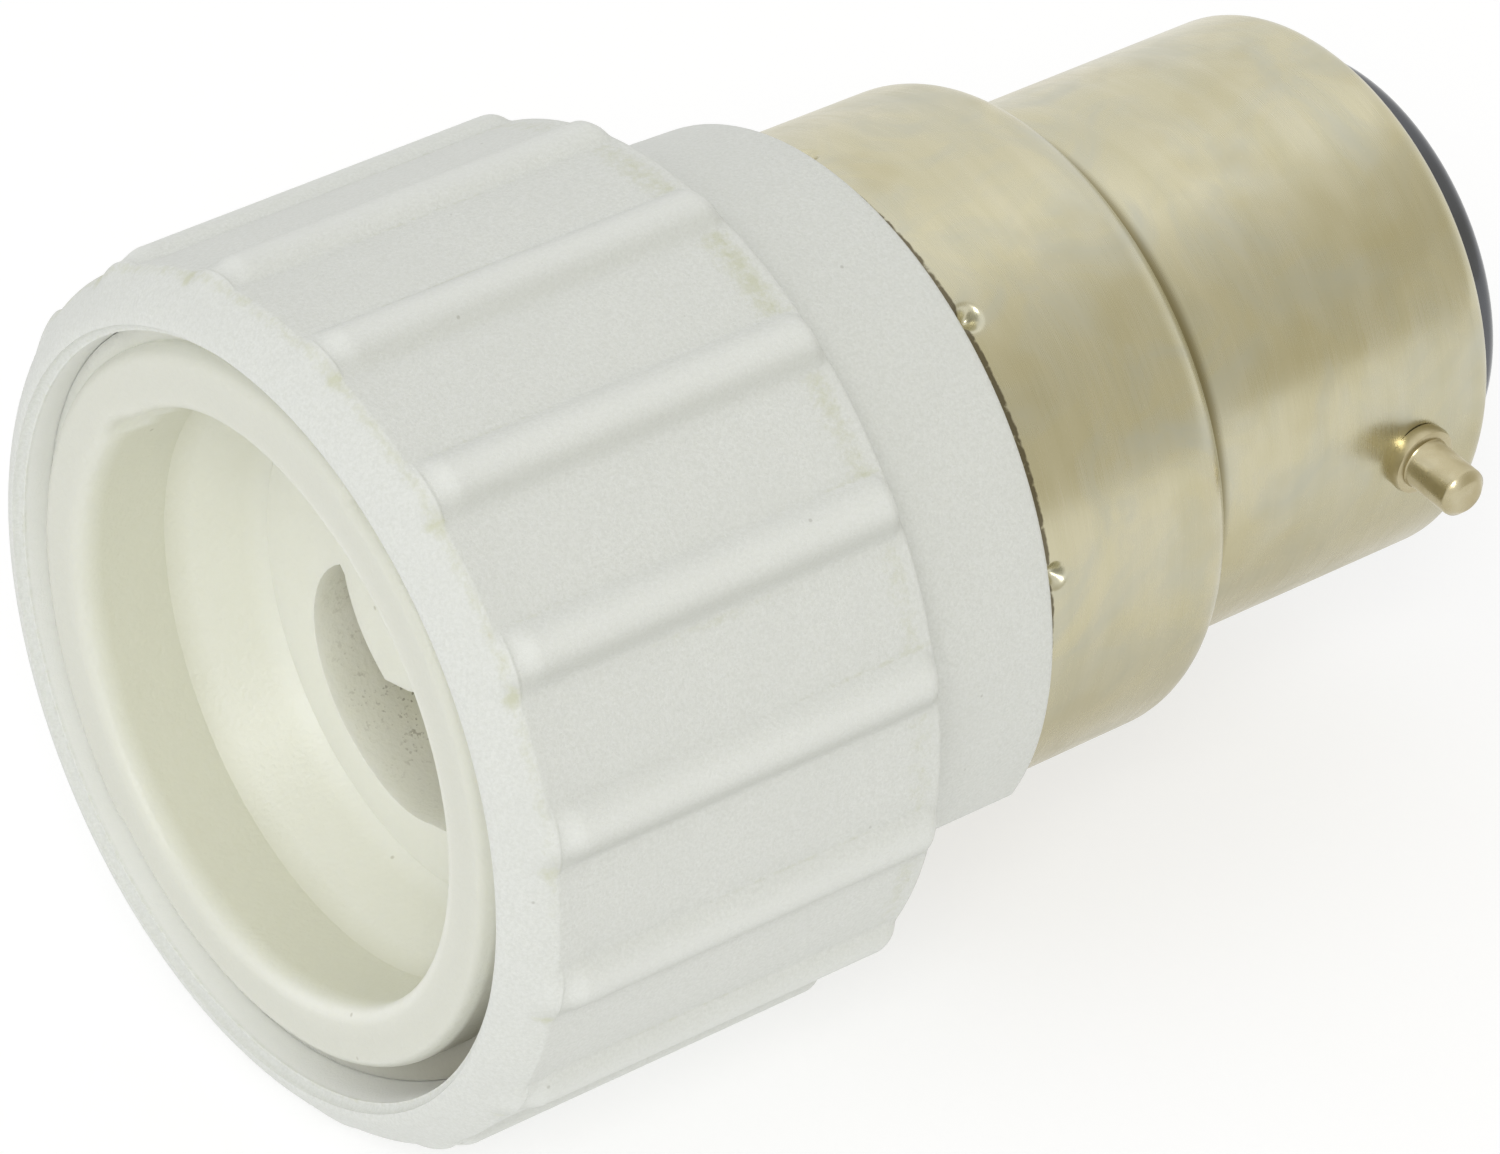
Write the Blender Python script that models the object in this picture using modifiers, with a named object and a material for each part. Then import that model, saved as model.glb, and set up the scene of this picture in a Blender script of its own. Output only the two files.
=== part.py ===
"""Lamp socket adapter: bayonet cap B22d at one end, GU10 twist socket at the other.

It lies on two of its ribs, as it is laid down: the axis runs along X, the open
socket faces -X and the metal cap points to +X.  Everything turned is drawn along
a shared axis, with "s" for the distance from the front lip and "r" for the
radius.  Angles run about the axis from +Y towards +Z.
"""
import math

import bmesh
import bpy
from mathutils import Matrix, Vector

MM = 0.001
TAU = 2.0 * math.pi

# Clearances and counts
CLEAR = 0.30 * MM            # running gap between pieces that seat on each other
WEB = 0.40 * MM              # gap where a strip or a wire passes a wall
HOUSING_STEPS = 64           # facets round the moulded body
CAP_STEPS = 40               # facets round the cap and the socket body
SMALL_STEPS = 16             # facets round rivets, pins and pads

# Moulded housing
PANEL_R = 16.95 * MM         # skin between the ribs
DRUM_WALL = 2.00 * MM        # from the skin to the bore
DRUM_SWELL = 0.04 * MM       # wider by this at mid-length
DRUM_TAPER = 0.05 * MM       # and by this at the back
LIP_WIDTH = 0.35 * MM        # flat face at the very front
LIP_CHAMFER = 0.15 * MM      # inner edge of the lip
COLLAR_DEPTH = 1.50 * MM     # sloping collar behind the lip
COLLAR_FULLNESS = 1.3        # 1 is a straight cone, 2 a quarter round
CREASE_S = 1.60 * MM         # mould parting line round the drum
CREASE_DEPTH = 0.12 * MM
DRUM_LENGTH = 18.77 * MM
DRUM_EDGE = 0.25 * MM
NECK_STAND = 1.25 * MM       # rear edge of the neck above the cap's skirt
NECK_DRAFT = 0.25 * MM       # wider by this where it meets the drum
NECK_LENGTH = 7.43 * MM
NECK_EDGE = 0.35 * MM
NECK_FLAT_ANGLE = math.radians(229.0)
NECK_FLAT_DEPTH = 0.70 * MM
SPIGOT_LENGTH = 5.00 * MM    # what the metal cap is pushed over
STAKE_GROOVE_DEPTH = 0.85 * MM
STAKE_GROOVE_WIDTH = 2.30 * MM
NECK_WALL = 1.80 * MM
NECK_END_T = 1.60 * MM       # wall at the rear of the neck
SPIGOT_WALL = 1.43 * MM

# Ribs
RIB_COUNT = 16
RIB_R = 1.30 * MM            # half-round section
RIB_HEIGHT = 0.62 * MM       # crest above the panel
RIB_FRONT = 0.45 * MM        # where the nose of a rib starts
RIB_NOSE = 1.35 * MM         # length of the nose
RIB_NOSE_SINK = 0.60 * MM    # how far its start dips into the collar
RIB_NOSE_SIZE = 0.42         # and how much of the section it has there
RIB_REAR_GAP = 0.15 * MM     # rib end before the rear edge
RIB_TAIL = 0.65 * MM         # length of the rounded rear end
RIB_TAIL_SINK = 0.32 * MM    # how far it dips into the skin there
RIB_TAIL_SIZE = 0.58

# Ceramic socket body
SOCKET_FACE_S = 0.50 * MM    # rim face behind the front lip
RIM_SHOULDER = 0.75 * MM     # rounding of the rim's outer edge
RIM_SET = 0.05 * MM          # rim inside the flange behind it
SOCKET_STEP = 0.85 * MM      # narrow sectors of the rim
FLANGE_SET = 0.85 * MM       # flange behind the rim face
CREVICE = 0.10 * MM          # narrow sectors are cut this far into the flange
SOCKET_WIDE_FROM = math.radians(-47.0)
SOCKET_WIDE_TO = math.radians(116.0)
FLANGE_LENGTH = 3.00 * MM    # flange that fills the mouth
BODY_RELIEF = 0.15 * MM      # body behind the flange
RIM_WIDTH = 2.85 * MM        # from the flange to the entry of the recess
CUP_EDGE = 0.55 * MM         # rounding of its inner edge
CUP_DEPTH = 3.95 * MM        # straight entry, from the rim face
CUP_DRAFT = 0.05 * MM
SEAT_STEP = 1.75 * MM        # from the entry to the flat seat of the lamp base
SEAT_DEPTH = 7.45 * MM       # from the rim face
FLOOR_T = 3.00 * MM
CHAMBER_DEPTH = 3.80 * MM    # room for the contacts behind the floor
PIN_CIRCLE_R = 5.00 * MM     # GU10: two lamp pins 10 mm apart
ENTRY_HOLE_R = 2.80 * MM     # lamp pin head goes in here
TRACK_HALF = 1.50 * MM       # and its neck turns along here
ENTRY_ANGLE = math.radians(-88.0)
LOCK_ANGLE = math.radians(-8.0)
CHAMBER_IN_R = 2.35 * MM
CHAMBER_OUT_R = 7.60 * MM

# Cover plate and its fixings
COVER_T = 2.30 * MM
RIVET_R = 0.65 * MM
RIVET_HEAD_R = 1.05 * MM
RIVET_HEAD_T = 0.50 * MM
RIVET_SINK = 0.45 * MM       # top of the head below the socket floor

# Contact springs
STRIP_T = 0.40 * MM
STRIP_W = 2.60 * MM
STRIP_OFFSET = 5.10 * MM     # distance of the strip from the axis
STRIP_HALF = 3.10 * MM       # half the length of its foot
SPRING_RISE = 2.60 * MM
STUD_R = 0.70 * MM           # rivet that joins spring, cover and terminal
STUD_HEAD_R = 1.15 * MM
STUD_HEAD_T = 0.45 * MM

# Terminals and leads
LUG_T = 0.50 * MM
LUG_R = 1.60 * MM
LUG_LENGTH = 4.35 * MM
BARREL_R = 1.35 * MM
BARREL_LENGTH = 2.60 * MM
LEAD_R = 0.80 * MM
LEAD_STRAIGHT = 5.50 * MM    # straight run before the end contact

# Metal cap, B22d
CAP_T = 0.22 * MM
SKIRT_R = 13.15 * MM
SKIRT_LENGTH = 10.05 * MM
SHOULDER_R = 1.70 * MM
STEP_FILLET = 0.45 * MM
SHELL_R = 11.00 * MM
SHELL_END_S = 50.95 * MM
SHELL_ROLL = 1.05 * MM       # rounded end
ROLL_REACH = 1.45 * MM       # the rolled edge reaches this far in
STAKE_COUNT = 8
STAKE_PHASE = math.radians(125.5)
STAKE_S = 1.10 * MM          # from the rear face of the neck
STAKE_BALL = 0.60 * MM
PIN_R = 1.03 * MM
PIN_S = 46.95 * MM
PIN_ANGLE = math.radians(187.0)
PIN_REACH = 3.05 * MM        # from the shell to the tip
PIN_COLLAR_R = 1.40 * MM
PIN_COLLAR_T = 0.45 * MM
PIN_HEAD_R = 1.70 * MM
PIN_HEAD_T = 0.60 * MM

# Moulded insulator and end contacts
INSULATOR_INSET = 0.40 * MM  # face inside the rolled edge
INSULATOR_DRAFT = 0.10 * MM
INSULATOR_END_S = 52.95 * MM
INSULATOR_T = 1.90 * MM      # face plate; a collar stands behind it
COLLAR_T = 1.80 * MM         # wall of the collar
COLLAR_LENGTH = 0.70 * MM    # behind the rolled edge of the shell
INSULATOR_ROUND = 0.75 * MM
PAD_MARGIN = 3.95 * MM       # from the rim of the face to the middle of a pad
PAD_R = 2.80 * MM
PAD_T = 0.45 * MM
PAD_SINK = 0.25 * MM         # how far the pad lies in the insulator face
BUSH_R = 1.55 * MM
BUSH_LENGTH = 0.50 * MM      # past the back of the face plate
SOLDER_R = 2.05 * MM
SOLDER_H = 0.70 * MM
SOLDER_FLAT = math.radians(72)  # the dome is flattened above this

# What follows from the sizes above
BORE_R = PANEL_R - DRUM_WALL
PANEL_REAR_R = PANEL_R + DRUM_TAPER
NECK_R = SKIRT_R + NECK_STAND
NECK_BORE_R = NECK_R - NECK_WALL
NECK_S = DRUM_LENGTH + NECK_LENGTH
SPIGOT_S = NECK_S + SPIGOT_LENGTH
SPIGOT_R = SKIRT_R - CAP_T - CLEAR
SPIGOT_BORE_R = SPIGOT_R - SPIGOT_WALL
SKIRT_S = NECK_S + CLEAR
STEP_S = NECK_S + SKIRT_LENGTH
FLOOR_S = SOCKET_FACE_S + SEAT_DEPTH
CHAMBER_S = FLOOR_S + FLOOR_T
SOCKET_BACK_S = CHAMBER_S + CHAMBER_DEPTH
COVER_S = SOCKET_BACK_S + CLEAR
COVER_BACK_S = COVER_S + COVER_T
LEDGE_S = COVER_BACK_S + CLEAR
SOCKET_R = BORE_R - CLEAR
SOCKET_BODY_R = SOCKET_R - BODY_RELIEF
RIM_R = SOCKET_R - RIM_SET
FLANGE_S = SOCKET_FACE_S + FLANGE_SET
CUP_R = SOCKET_R - RIM_WIDTH
SEAT_R = CUP_R - SEAT_STEP
SHELL_MOUTH_R = SHELL_R - ROLL_REACH
INSULATOR_R = SHELL_MOUTH_R - INSULATOR_INSET
PAD_OFFSET = INSULATOR_R - PAD_MARGIN
PIN_TIP_R = SHELL_R + PIN_REACH
PAD_ANGLE = PIN_ANGLE + math.pi / 2
PAD_FACE_S = INSULATOR_END_S - PAD_SINK + PAD_T + CLEAR
TOTAL_LENGTH = PAD_FACE_S + SOLDER_H
RIB_AXIS_R = PANEL_R + RIB_HEIGHT - RIB_R
AXIS_HEIGHT = RIB_AXIS_R * math.cos(math.pi / RIB_COUNT) + RIB_R


def clear_scene():
    for ob in list(bpy.data.objects):
        bpy.data.objects.remove(ob, do_unlink=True)


def make_collection(name):
    col = bpy.data.collections.new(name)
    bpy.context.scene.collection.children.link(col)
    return col


def material(name, rgb, roughness, metallic=0.0):
    mat = bpy.data.materials.new(name)
    mat.use_nodes = True
    shader = mat.node_tree.nodes["Principled BSDF"]
    linear = [((v / 255 + 0.055) / 1.055) ** 2.4 for v in rgb]
    shader.inputs["Base Color"].default_value = (*linear, 1.0)
    shader.inputs["Roughness"].default_value = roughness
    shader.inputs["Metallic"].default_value = metallic
    mat.diffuse_color = (*linear, 1.0)
    return mat


def around(angle, r, s=0.0):
    """Point at an angle about the axis; the axis is the local Z."""
    return Vector((-r * math.sin(angle), r * math.cos(angle), s))


def add(ob, col, mat, axis):
    col.objects.link(ob)
    ob.parent = axis
    if mat is not None:
        ob.data.materials.append(mat)
    return ob


def soften(mesh, degrees=32):
    mesh.shade_smooth()
    mesh.set_sharp_from_angle(angle=math.radians(degrees))


def turned(name, profile, steps, closed=True):
    """A profile of (s, r) points swept round the axis by a Screw modifier."""
    if closed:
        area = sum(a[1] * b[0] - b[1] * a[0]
                   for a, b in zip(profile, profile[1:] + profile[:1]))
        if area > 0:
            profile = profile[::-1]
    mesh = bpy.data.meshes.new(name)
    verts = [(r, 0.0, s) for s, r in profile]
    edges = [(i, i + 1) for i in range(len(verts) - 1)]
    if closed:
        edges.append((len(verts) - 1, 0))
    mesh.from_pydata(verts, edges, [])
    ob = bpy.data.objects.new(name, mesh)
    screw = ob.modifiers.new("Turn", "SCREW")
    screw.axis = "Z"
    screw.angle = TAU
    screw.steps = steps
    screw.render_steps = steps
    screw.use_merge_vertices = True
    screw.merge_threshold = 1e-6
    screw.use_smooth_shade = True
    return ob


def quarter(s0, r0, s1, r1, count, bulge_first="r"):
    """Elliptical quarter arc between two (s, r) points, ends included."""
    points = []
    for i in range(count + 1):
        t = math.pi / 2 * i / count
        if bulge_first == "r":
            points.append((s0 + (s1 - s0) * (1 - math.cos(t)), r0 + (r1 - r0) * math.sin(t)))
        else:
            points.append((s0 + (s1 - s0) * math.sin(t), r0 + (r1 - r0) * (1 - math.cos(t))))
    return points


def mesh_object(name, bm):
    mesh = bpy.data.meshes.new(name)
    bm.normal_update()
    bm.to_mesh(mesh)
    bm.free()
    return bpy.data.objects.new(name, mesh)


def prism(name, outline, s0, s1):
    """A flat outline of (x, y) points, extruded along the axis."""
    bm = bmesh.new()
    verts = [bm.verts.new((x, y, s0)) for x, y in outline]
    face = bm.faces.new(verts)
    grown = bmesh.ops.extrude_face_region(bm, geom=[face])
    moved = [g for g in grown["geom"] if isinstance(g, bmesh.types.BMVert)]
    bmesh.ops.translate(bm, verts=moved, vec=(0, 0, s1 - s0))
    bmesh.ops.recalc_face_normals(bm, faces=bm.faces)
    return mesh_object(name, bm)


def rod(name, radius, s0, s1, steps, x=0.0, y=0.0):
    """A straight cylinder parallel to the axis."""
    bm = bmesh.new()
    bmesh.ops.create_cone(bm, cap_ends=True, segments=steps, radius1=radius,
                          radius2=radius, depth=s1 - s0)
    bmesh.ops.translate(bm, verts=bm.verts, vec=(x, y, (s0 + s1) / 2))
    return mesh_object(name, bm)


def boolean(ob, tool, operation, bin_col, axis):
    """Cuts or joins with a helper that stays out of the build."""
    if tool.name not in bin_col.objects:
        bin_col.objects.link(tool)
        tool.parent = axis
    tool.hide_render = True
    tool.display_type = "WIRE"
    mod = ob.modifiers.new(operation.title(), "BOOLEAN")
    mod.operation = operation
    mod.object = tool
    mod.solver = "EXACT"


def tube_mesh(name, points, radius, resolution, sizes=None):
    """A round wire along points: a bevelled curve turned into a welded mesh."""
    curve = bpy.data.curves.new(name, "CURVE")
    curve.dimensions = "3D"
    curve.bevel_depth = radius
    curve.bevel_resolution = resolution
    curve.use_fill_caps = True
    spline = curve.splines.new("POLY")
    spline.points.add(len(points) - 1)
    for i, (target, p) in enumerate(zip(spline.points, points)):
        target.co = (*p, 1.0)
        target.radius = sizes[i] if sizes else 1.0
    holder = bpy.data.objects.new(name, curve)
    bpy.context.scene.collection.objects.link(holder)
    bpy.context.view_layer.update()
    graph = bpy.context.evaluated_depsgraph_get()
    mesh = bpy.data.meshes.new_from_object(holder.evaluated_get(graph))
    bpy.data.objects.remove(holder, do_unlink=True)
    bpy.data.curves.remove(curve)
    bm = bmesh.new()
    bm.from_mesh(mesh)
    bmesh.ops.remove_doubles(bm, verts=bm.verts, dist=1e-7)
    bmesh.ops.recalc_face_normals(bm, faces=bm.faces)
    bm.to_mesh(mesh)
    bm.free()
    mesh.name = name
    return mesh


def smooth_path(points, count):
    """Points along a Catmull-Rom curve through the given ones."""
    pts = [points[0] * 2 - points[1]] + points + [points[-1] * 2 - points[-2]]
    out = []
    spans = len(points) - 1
    for i in range(count + 1):
        u = i / count * spans
        k = min(int(u), spans - 1)
        t = u - k
        a, b, c, d = pts[k:k + 4]
        out.append(0.5 * ((2 * b) + (c - a) * t + (2 * a - 5 * b + 4 * c - d) * t * t
                          + (3 * b - a - 3 * c + d) * t ** 3))
    return out


def collar(lip_out, count):
    """The slope from the lip to the drum's skin, without its first point."""
    points = []
    for i in range(1, count + 1):
        t = i / count
        rise = (1 - (1 - t) ** COLLAR_FULLNESS) ** (1 / COLLAR_FULLNESS)
        points.append((COLLAR_DEPTH * t, lip_out + (PANEL_R - lip_out) * rise))
    return points


def rib_end(start, length, sink, size, count=2):
    """Stations (s, sink, size) from the thin end of a rib to its full section."""
    stations = []
    for i in range(count + 1):
        rest = (1 - i / count) ** 2
        stations.append((start + length * i / count, sink * rest, 1 - (1 - size) * rest))
    return stations


def build_housing(col, bins, axis, mat):
    """Moulded body: ribbed drum, neck, and the spigot inside the cap."""
    lip_out = BORE_R + LIP_CHAMFER + LIP_WIDTH
    groove = SKIRT_S + STAKE_GROOVE_WIDTH
    outer = [(0.0, BORE_R + LIP_CHAMFER), (0.0, lip_out)]
    outer += collar(lip_out, 4)
    outer += [(CREASE_S, PANEL_R - CREASE_DEPTH),
              (CREASE_S + CREASE_DEPTH * 1.4, PANEL_R)]
    middle = (CREASE_S + DRUM_LENGTH) / 2
    outer += [(middle, PANEL_R + DRUM_SWELL)]
    outer += [(DRUM_LENGTH - DRUM_EDGE, PANEL_REAR_R)]
    outer += [(DRUM_LENGTH - DRUM_EDGE * 0.3, PANEL_REAR_R - DRUM_EDGE * 0.3),
              (DRUM_LENGTH, PANEL_REAR_R - DRUM_EDGE)]
    outer += [(DRUM_LENGTH, NECK_R + NECK_DRAFT), (NECK_S - NECK_EDGE, NECK_R),
              (NECK_S - NECK_EDGE * 0.3, NECK_R - NECK_EDGE * 0.3),
              (NECK_S, NECK_R - NECK_EDGE)]
    outer += [(NECK_S, SPIGOT_R - STAKE_GROOVE_DEPTH),
              (groove, SPIGOT_R - STAKE_GROOVE_DEPTH), (groove, SPIGOT_R),
              (SPIGOT_S - DRUM_EDGE, SPIGOT_R), (SPIGOT_S, SPIGOT_R - DRUM_EDGE)]
    inner = [(SPIGOT_S, SPIGOT_BORE_R), (NECK_S - NECK_END_T, SPIGOT_BORE_R),
             (NECK_S - NECK_END_T, NECK_BORE_R), (LEDGE_S, NECK_BORE_R),
             (LEDGE_S, BORE_R), (LIP_CHAMFER, BORE_R)]
    housing = add(turned("housing", outer + inner, HOUSING_STEPS), col, mat, axis)

    rear = DRUM_LENGTH - RIB_REAR_GAP
    stations = rib_end(RIB_FRONT, RIB_NOSE, RIB_NOSE_SINK, RIB_NOSE_SIZE)
    stations += rib_end(rear, -RIB_TAIL, RIB_TAIL_SINK, RIB_TAIL_SIZE)[::-1]
    path = [Vector((0, RIB_AXIS_R - sink, s)) for s, sink, _ in stations]
    one = tube_mesh("rib", path, RIB_R, 3, [size for _, _, size in stations])
    bm = bmesh.new()
    for k in range(RIB_COUNT):
        angle = TAU * (k + 0.5) / RIB_COUNT
        copy = one.copy()
        copy.transform(Matrix.Rotation(angle, 4, "Z"))
        bm.from_mesh(copy)
        bpy.data.meshes.remove(copy)
    bpy.data.meshes.remove(one)
    boolean(housing, mesh_object("ribs", bm), "UNION", bins, axis)

    half = NECK_R
    beyond = [(-half, 0), (half, 0), (half, half), (-half, half)]
    flat = prism("neck_flat", beyond, DRUM_LENGTH + MM / 100, NECK_S + CLEAR)
    flat.data.transform(Matrix.Rotation(NECK_FLAT_ANGLE, 4, "Z")
                        @ Matrix.Translation((0, NECK_R - NECK_FLAT_DEPTH, 0)))
    boolean(housing, flat, "DIFFERENCE", bins, axis)
    return housing


def sector(r_in, r_out, a0, a1, count=8):
    """Outline of a ring sector between two angles about the axis."""
    points = []
    for i in range(count + 1):
        p = around(a0 + (a1 - a0) * i / count, r_out)
        points.append((p.x, p.y))
    for i in range(count + 1):
        p = around(a1 + (a0 - a1) * i / count, r_in)
        points.append((p.x, p.y))
    return points


def track(entry, lock, half):
    """Outline of the curved slot with a round end at the lock."""
    points = []
    for i in range(9):
        p = around(entry + (lock - entry) * i / 8, PIN_CIRCLE_R + half)
        points.append((p.x, p.y))
    centre = around(lock, PIN_CIRCLE_R)
    for i in range(1, 8):
        t = math.pi * i / 8
        p = centre + around(lock + t, half)
        points.append((p.x, p.y))
    for i in range(9):
        p = around(lock + (entry - lock) * i / 8, PIN_CIRCLE_R - half)
        points.append((p.x, p.y))
    return points


def build_socket(col, bins, axis, mat):
    """Glazed ceramic socket body with two keyhole tracks and two chambers."""
    face = SOCKET_FACE_S
    outer = quarter(face, RIM_R - RIM_SHOULDER, face + RIM_SHOULDER, RIM_R, 3)
    outer += [(FLANGE_S, RIM_R), (FLANGE_S, SOCKET_R), (FLANGE_S + FLANGE_LENGTH, SOCKET_R),
              (FLANGE_S + FLANGE_LENGTH, SOCKET_BODY_R), (SOCKET_BACK_S, SOCKET_BODY_R)]
    cup = [(SOCKET_BACK_S, 0.0), (FLOOR_S, 0.0), (FLOOR_S, SEAT_R),
           (face + CUP_DEPTH, CUP_R - CUP_DRAFT)]
    cup += quarter(face + CUP_EDGE, CUP_R, face, CUP_R + CUP_EDGE, 4, "s")
    profile = cup[1:] + outer + cup[:1]
    socket = add(turned("socket_body", profile[::-1], CAP_STEPS, closed=False), col, mat, axis)

    span = SOCKET_WIDE_TO - SOCKET_WIDE_FROM
    narrow = prism("rim_step", sector(SOCKET_R - SOCKET_STEP, SOCKET_R + MM, SOCKET_WIDE_TO,
                                      SOCKET_WIDE_TO + TAU - span, 20),
                   face - MM, FLANGE_S + CREVICE)
    boolean(socket, narrow, "DIFFERENCE", bins, axis)
    for k in range(2):
        turn = math.pi * k
        entry = around(ENTRY_ANGLE + turn, PIN_CIRCLE_R)
        hole = rod(f"entry_{k + 1}", ENTRY_HOLE_R, FLOOR_S - MM, CHAMBER_S + MM / 2,
                   SMALL_STEPS, entry.x, entry.y)
        boolean(socket, hole, "DIFFERENCE", bins, axis)
        curve = track(ENTRY_ANGLE + turn, LOCK_ANGLE + turn, TRACK_HALF)
        slot = prism(f"track_{k + 1}", curve, FLOOR_S - MM, CHAMBER_S + MM / 2)
        boolean(socket, slot, "DIFFERENCE", bins, axis)
        reach = math.asin(ENTRY_HOLE_R / PIN_CIRCLE_R)
        outline = sector(CHAMBER_IN_R, CHAMBER_OUT_R, ENTRY_ANGLE + turn - reach,
                         LOCK_ANGLE + turn + reach * 0.75, 10)
        chamber = prism(f"chamber_{k + 1}", outline, CHAMBER_S, SOCKET_BACK_S + MM)
        boolean(socket, chamber, "DIFFERENCE", bins, axis)
    bore = rod("rivet_bore", RIVET_R + CLEAR, FLOOR_S - MM, SOCKET_BACK_S + MM, SMALL_STEPS)
    boolean(socket, bore, "DIFFERENCE", bins, axis)
    seat = rod("rivet_seat", RIVET_HEAD_R + CLEAR, FLOOR_S - MM,
               FLOOR_S + RIVET_SINK + RIVET_HEAD_T + CLEAR, SMALL_STEPS)
    boolean(socket, seat, "DIFFERENCE", bins, axis)
    return socket


def strip_frame(k):
    """Direction along and across contact spring k, and the middle of its foot."""
    middle = (ENTRY_ANGLE + LOCK_ANGLE) / 2 + math.pi * k
    across = around(middle, 1.0)
    along = around(middle + math.pi / 2, 1.0)
    return along, across, across * STRIP_OFFSET


def stud_place(k):
    along, across, centre = strip_frame(k)
    return centre - along * (STRIP_HALF - STUD_HEAD_R - WEB)


def build_cover(col, bins, axis, mat):
    """Ceramic plate that closes the chambers; the contacts are riveted to it."""
    cover = add(rod("socket_cover", SOCKET_R, COVER_S, COVER_BACK_S, CAP_STEPS), col, mat, axis)
    bore = rod("cover_bore", RIVET_R + CLEAR, COVER_S - MM, COVER_BACK_S + MM, SMALL_STEPS)
    boolean(cover, bore, "DIFFERENCE", bins, axis)
    for k in range(2):
        p = stud_place(k)
        hole = rod(f"cover_hole_{k + 1}", STUD_R + CLEAR, COVER_S - MM, COVER_BACK_S + MM,
                   12, p.x, p.y)
        boolean(cover, hole, "DIFFERENCE", bins, axis)
    return cover


def headed(name, shank_r, head_r, head_t, s0, s1, steps):
    """Rivet with a head at both ends; s0 and s1 are the outer faces."""
    profile = [(s0, 0.0), (s0, head_r * 0.8), (s0 + head_t * 0.45, head_r), (s0 + head_t, head_r),
               (s0 + head_t, shank_r), (s1 - head_t, shank_r), (s1 - head_t, head_r),
               (s1 - head_t * 0.45, head_r), (s1, head_r * 0.8), (s1, 0.0)]
    return turned(name, profile[::-1], steps, closed=False)


def build_contacts(col, bins, axis, bronze, brass):
    """Folded springs under the tracks, their rivets and the rear terminals."""
    foot_s = COVER_S - CLEAR - STRIP_T / 2
    for k in range(2):
        along, across, centre = strip_frame(k)
        fold = STRIP_T * 1.6
        path = [(-STRIP_HALF, foot_s), (STRIP_HALF - fold, foot_s),
                (STRIP_HALF - fold * 0.3, foot_s - fold * 0.35),
                (STRIP_HALF, foot_s - fold), (STRIP_HALF - fold * 0.3, foot_s - fold * 1.65),
                (STRIP_HALF * 0.35, foot_s - SPRING_RISE * 0.78),
                (-STRIP_HALF * 0.25, foot_s - SPRING_RISE),
                (-STRIP_HALF * 0.55, foot_s - SPRING_RISE * 0.97),
                (-STRIP_HALF * 0.85, foot_s - SPRING_RISE * 0.80)]
        bm = bmesh.new()
        rows = []
        for t, s in path:
            rows.append([bm.verts.new(centre + along * t + across * w + Vector((0, 0, s)))
                         for w in (-STRIP_W / 2, STRIP_W / 2)])
        for a, b in zip(rows, rows[1:]):
            bm.faces.new((a[0], a[1], b[1], b[0]))
        spring = add(mesh_object(f"contact_spring_{k + 1}", bm), col, bronze, axis)
        solid = spring.modifiers.new("Sheet", "SOLIDIFY")
        solid.thickness = STRIP_T
        solid.offset = 0.0
        solid.use_even_offset = True
        p = stud_place(k)
        hole = rod(f"spring_hole_{k + 1}", STUD_R + CLEAR, foot_s - STRIP_T, foot_s + STRIP_T,
                   12, p.x, p.y)
        boolean(spring, hole, "DIFFERENCE", bins, axis)

        lug_s = COVER_BACK_S + CLEAR
        s0 = foot_s - STRIP_T / 2 - CLEAR - STUD_HEAD_T
        s1 = lug_s + LUG_T + CLEAR + STUD_HEAD_T
        stud = headed(f"contact_rivet_{k + 1}", STUD_R, STUD_HEAD_R, STUD_HEAD_T, s0, s1, 12)
        stud.location = (p.x, p.y, 0)
        add(stud, col, brass, axis)

        lug = add(build_lug(k, lug_s, bins, axis), col, brass, axis)
        hole = rod(f"lug_hole_{k + 1}", STUD_R + CLEAR, lug_s - MM, lug_s + LUG_T + MM, 12, p.x, p.y)
        boolean(lug, hole, "DIFFERENCE", bins, axis)


def lug_frame(k):
    """Where a terminal is riveted, and its direction along the spring's foot."""
    return stud_place(k), strip_frame(k)[0]


def build_lug(k, s, bins, axis):
    """Flat ring terminal with a crimp barrel that stands up along the axis."""
    p, onward = lug_frame(k)
    side = Vector((-onward.y, onward.x, 0))
    outline = []
    for i in range(9):
        t = math.pi * i / 8
        q = p + side * (LUG_R * math.cos(t)) - onward * (LUG_R * math.sin(t))
        outline.append((q.x, q.y))
    tip = p + onward * LUG_LENGTH
    half = side * BARREL_R * 0.9
    outline += [(corner.x, corner.y) for corner in (tip - half, tip + half)]
    lug = prism(f"terminal_{k + 1}", outline, s, s + LUG_T)
    place = tip - onward * BARREL_R
    barrel = rod(f"barrel_{k + 1}", BARREL_R, s + LUG_T * 0.5, s + LUG_T + BARREL_LENGTH, 14,
                 place.x, place.y)
    boolean(lug, barrel, "UNION", bins, axis)
    bore = rod(f"barrel_bore_{k + 1}", LEAD_R + CLEAR * 0.7, s + LUG_T + CLEAR,
               s + LUG_T + BARREL_LENGTH + MM, 12, place.x, place.y)
    boolean(lug, bore, "DIFFERENCE", bins, axis)
    return lug


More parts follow.
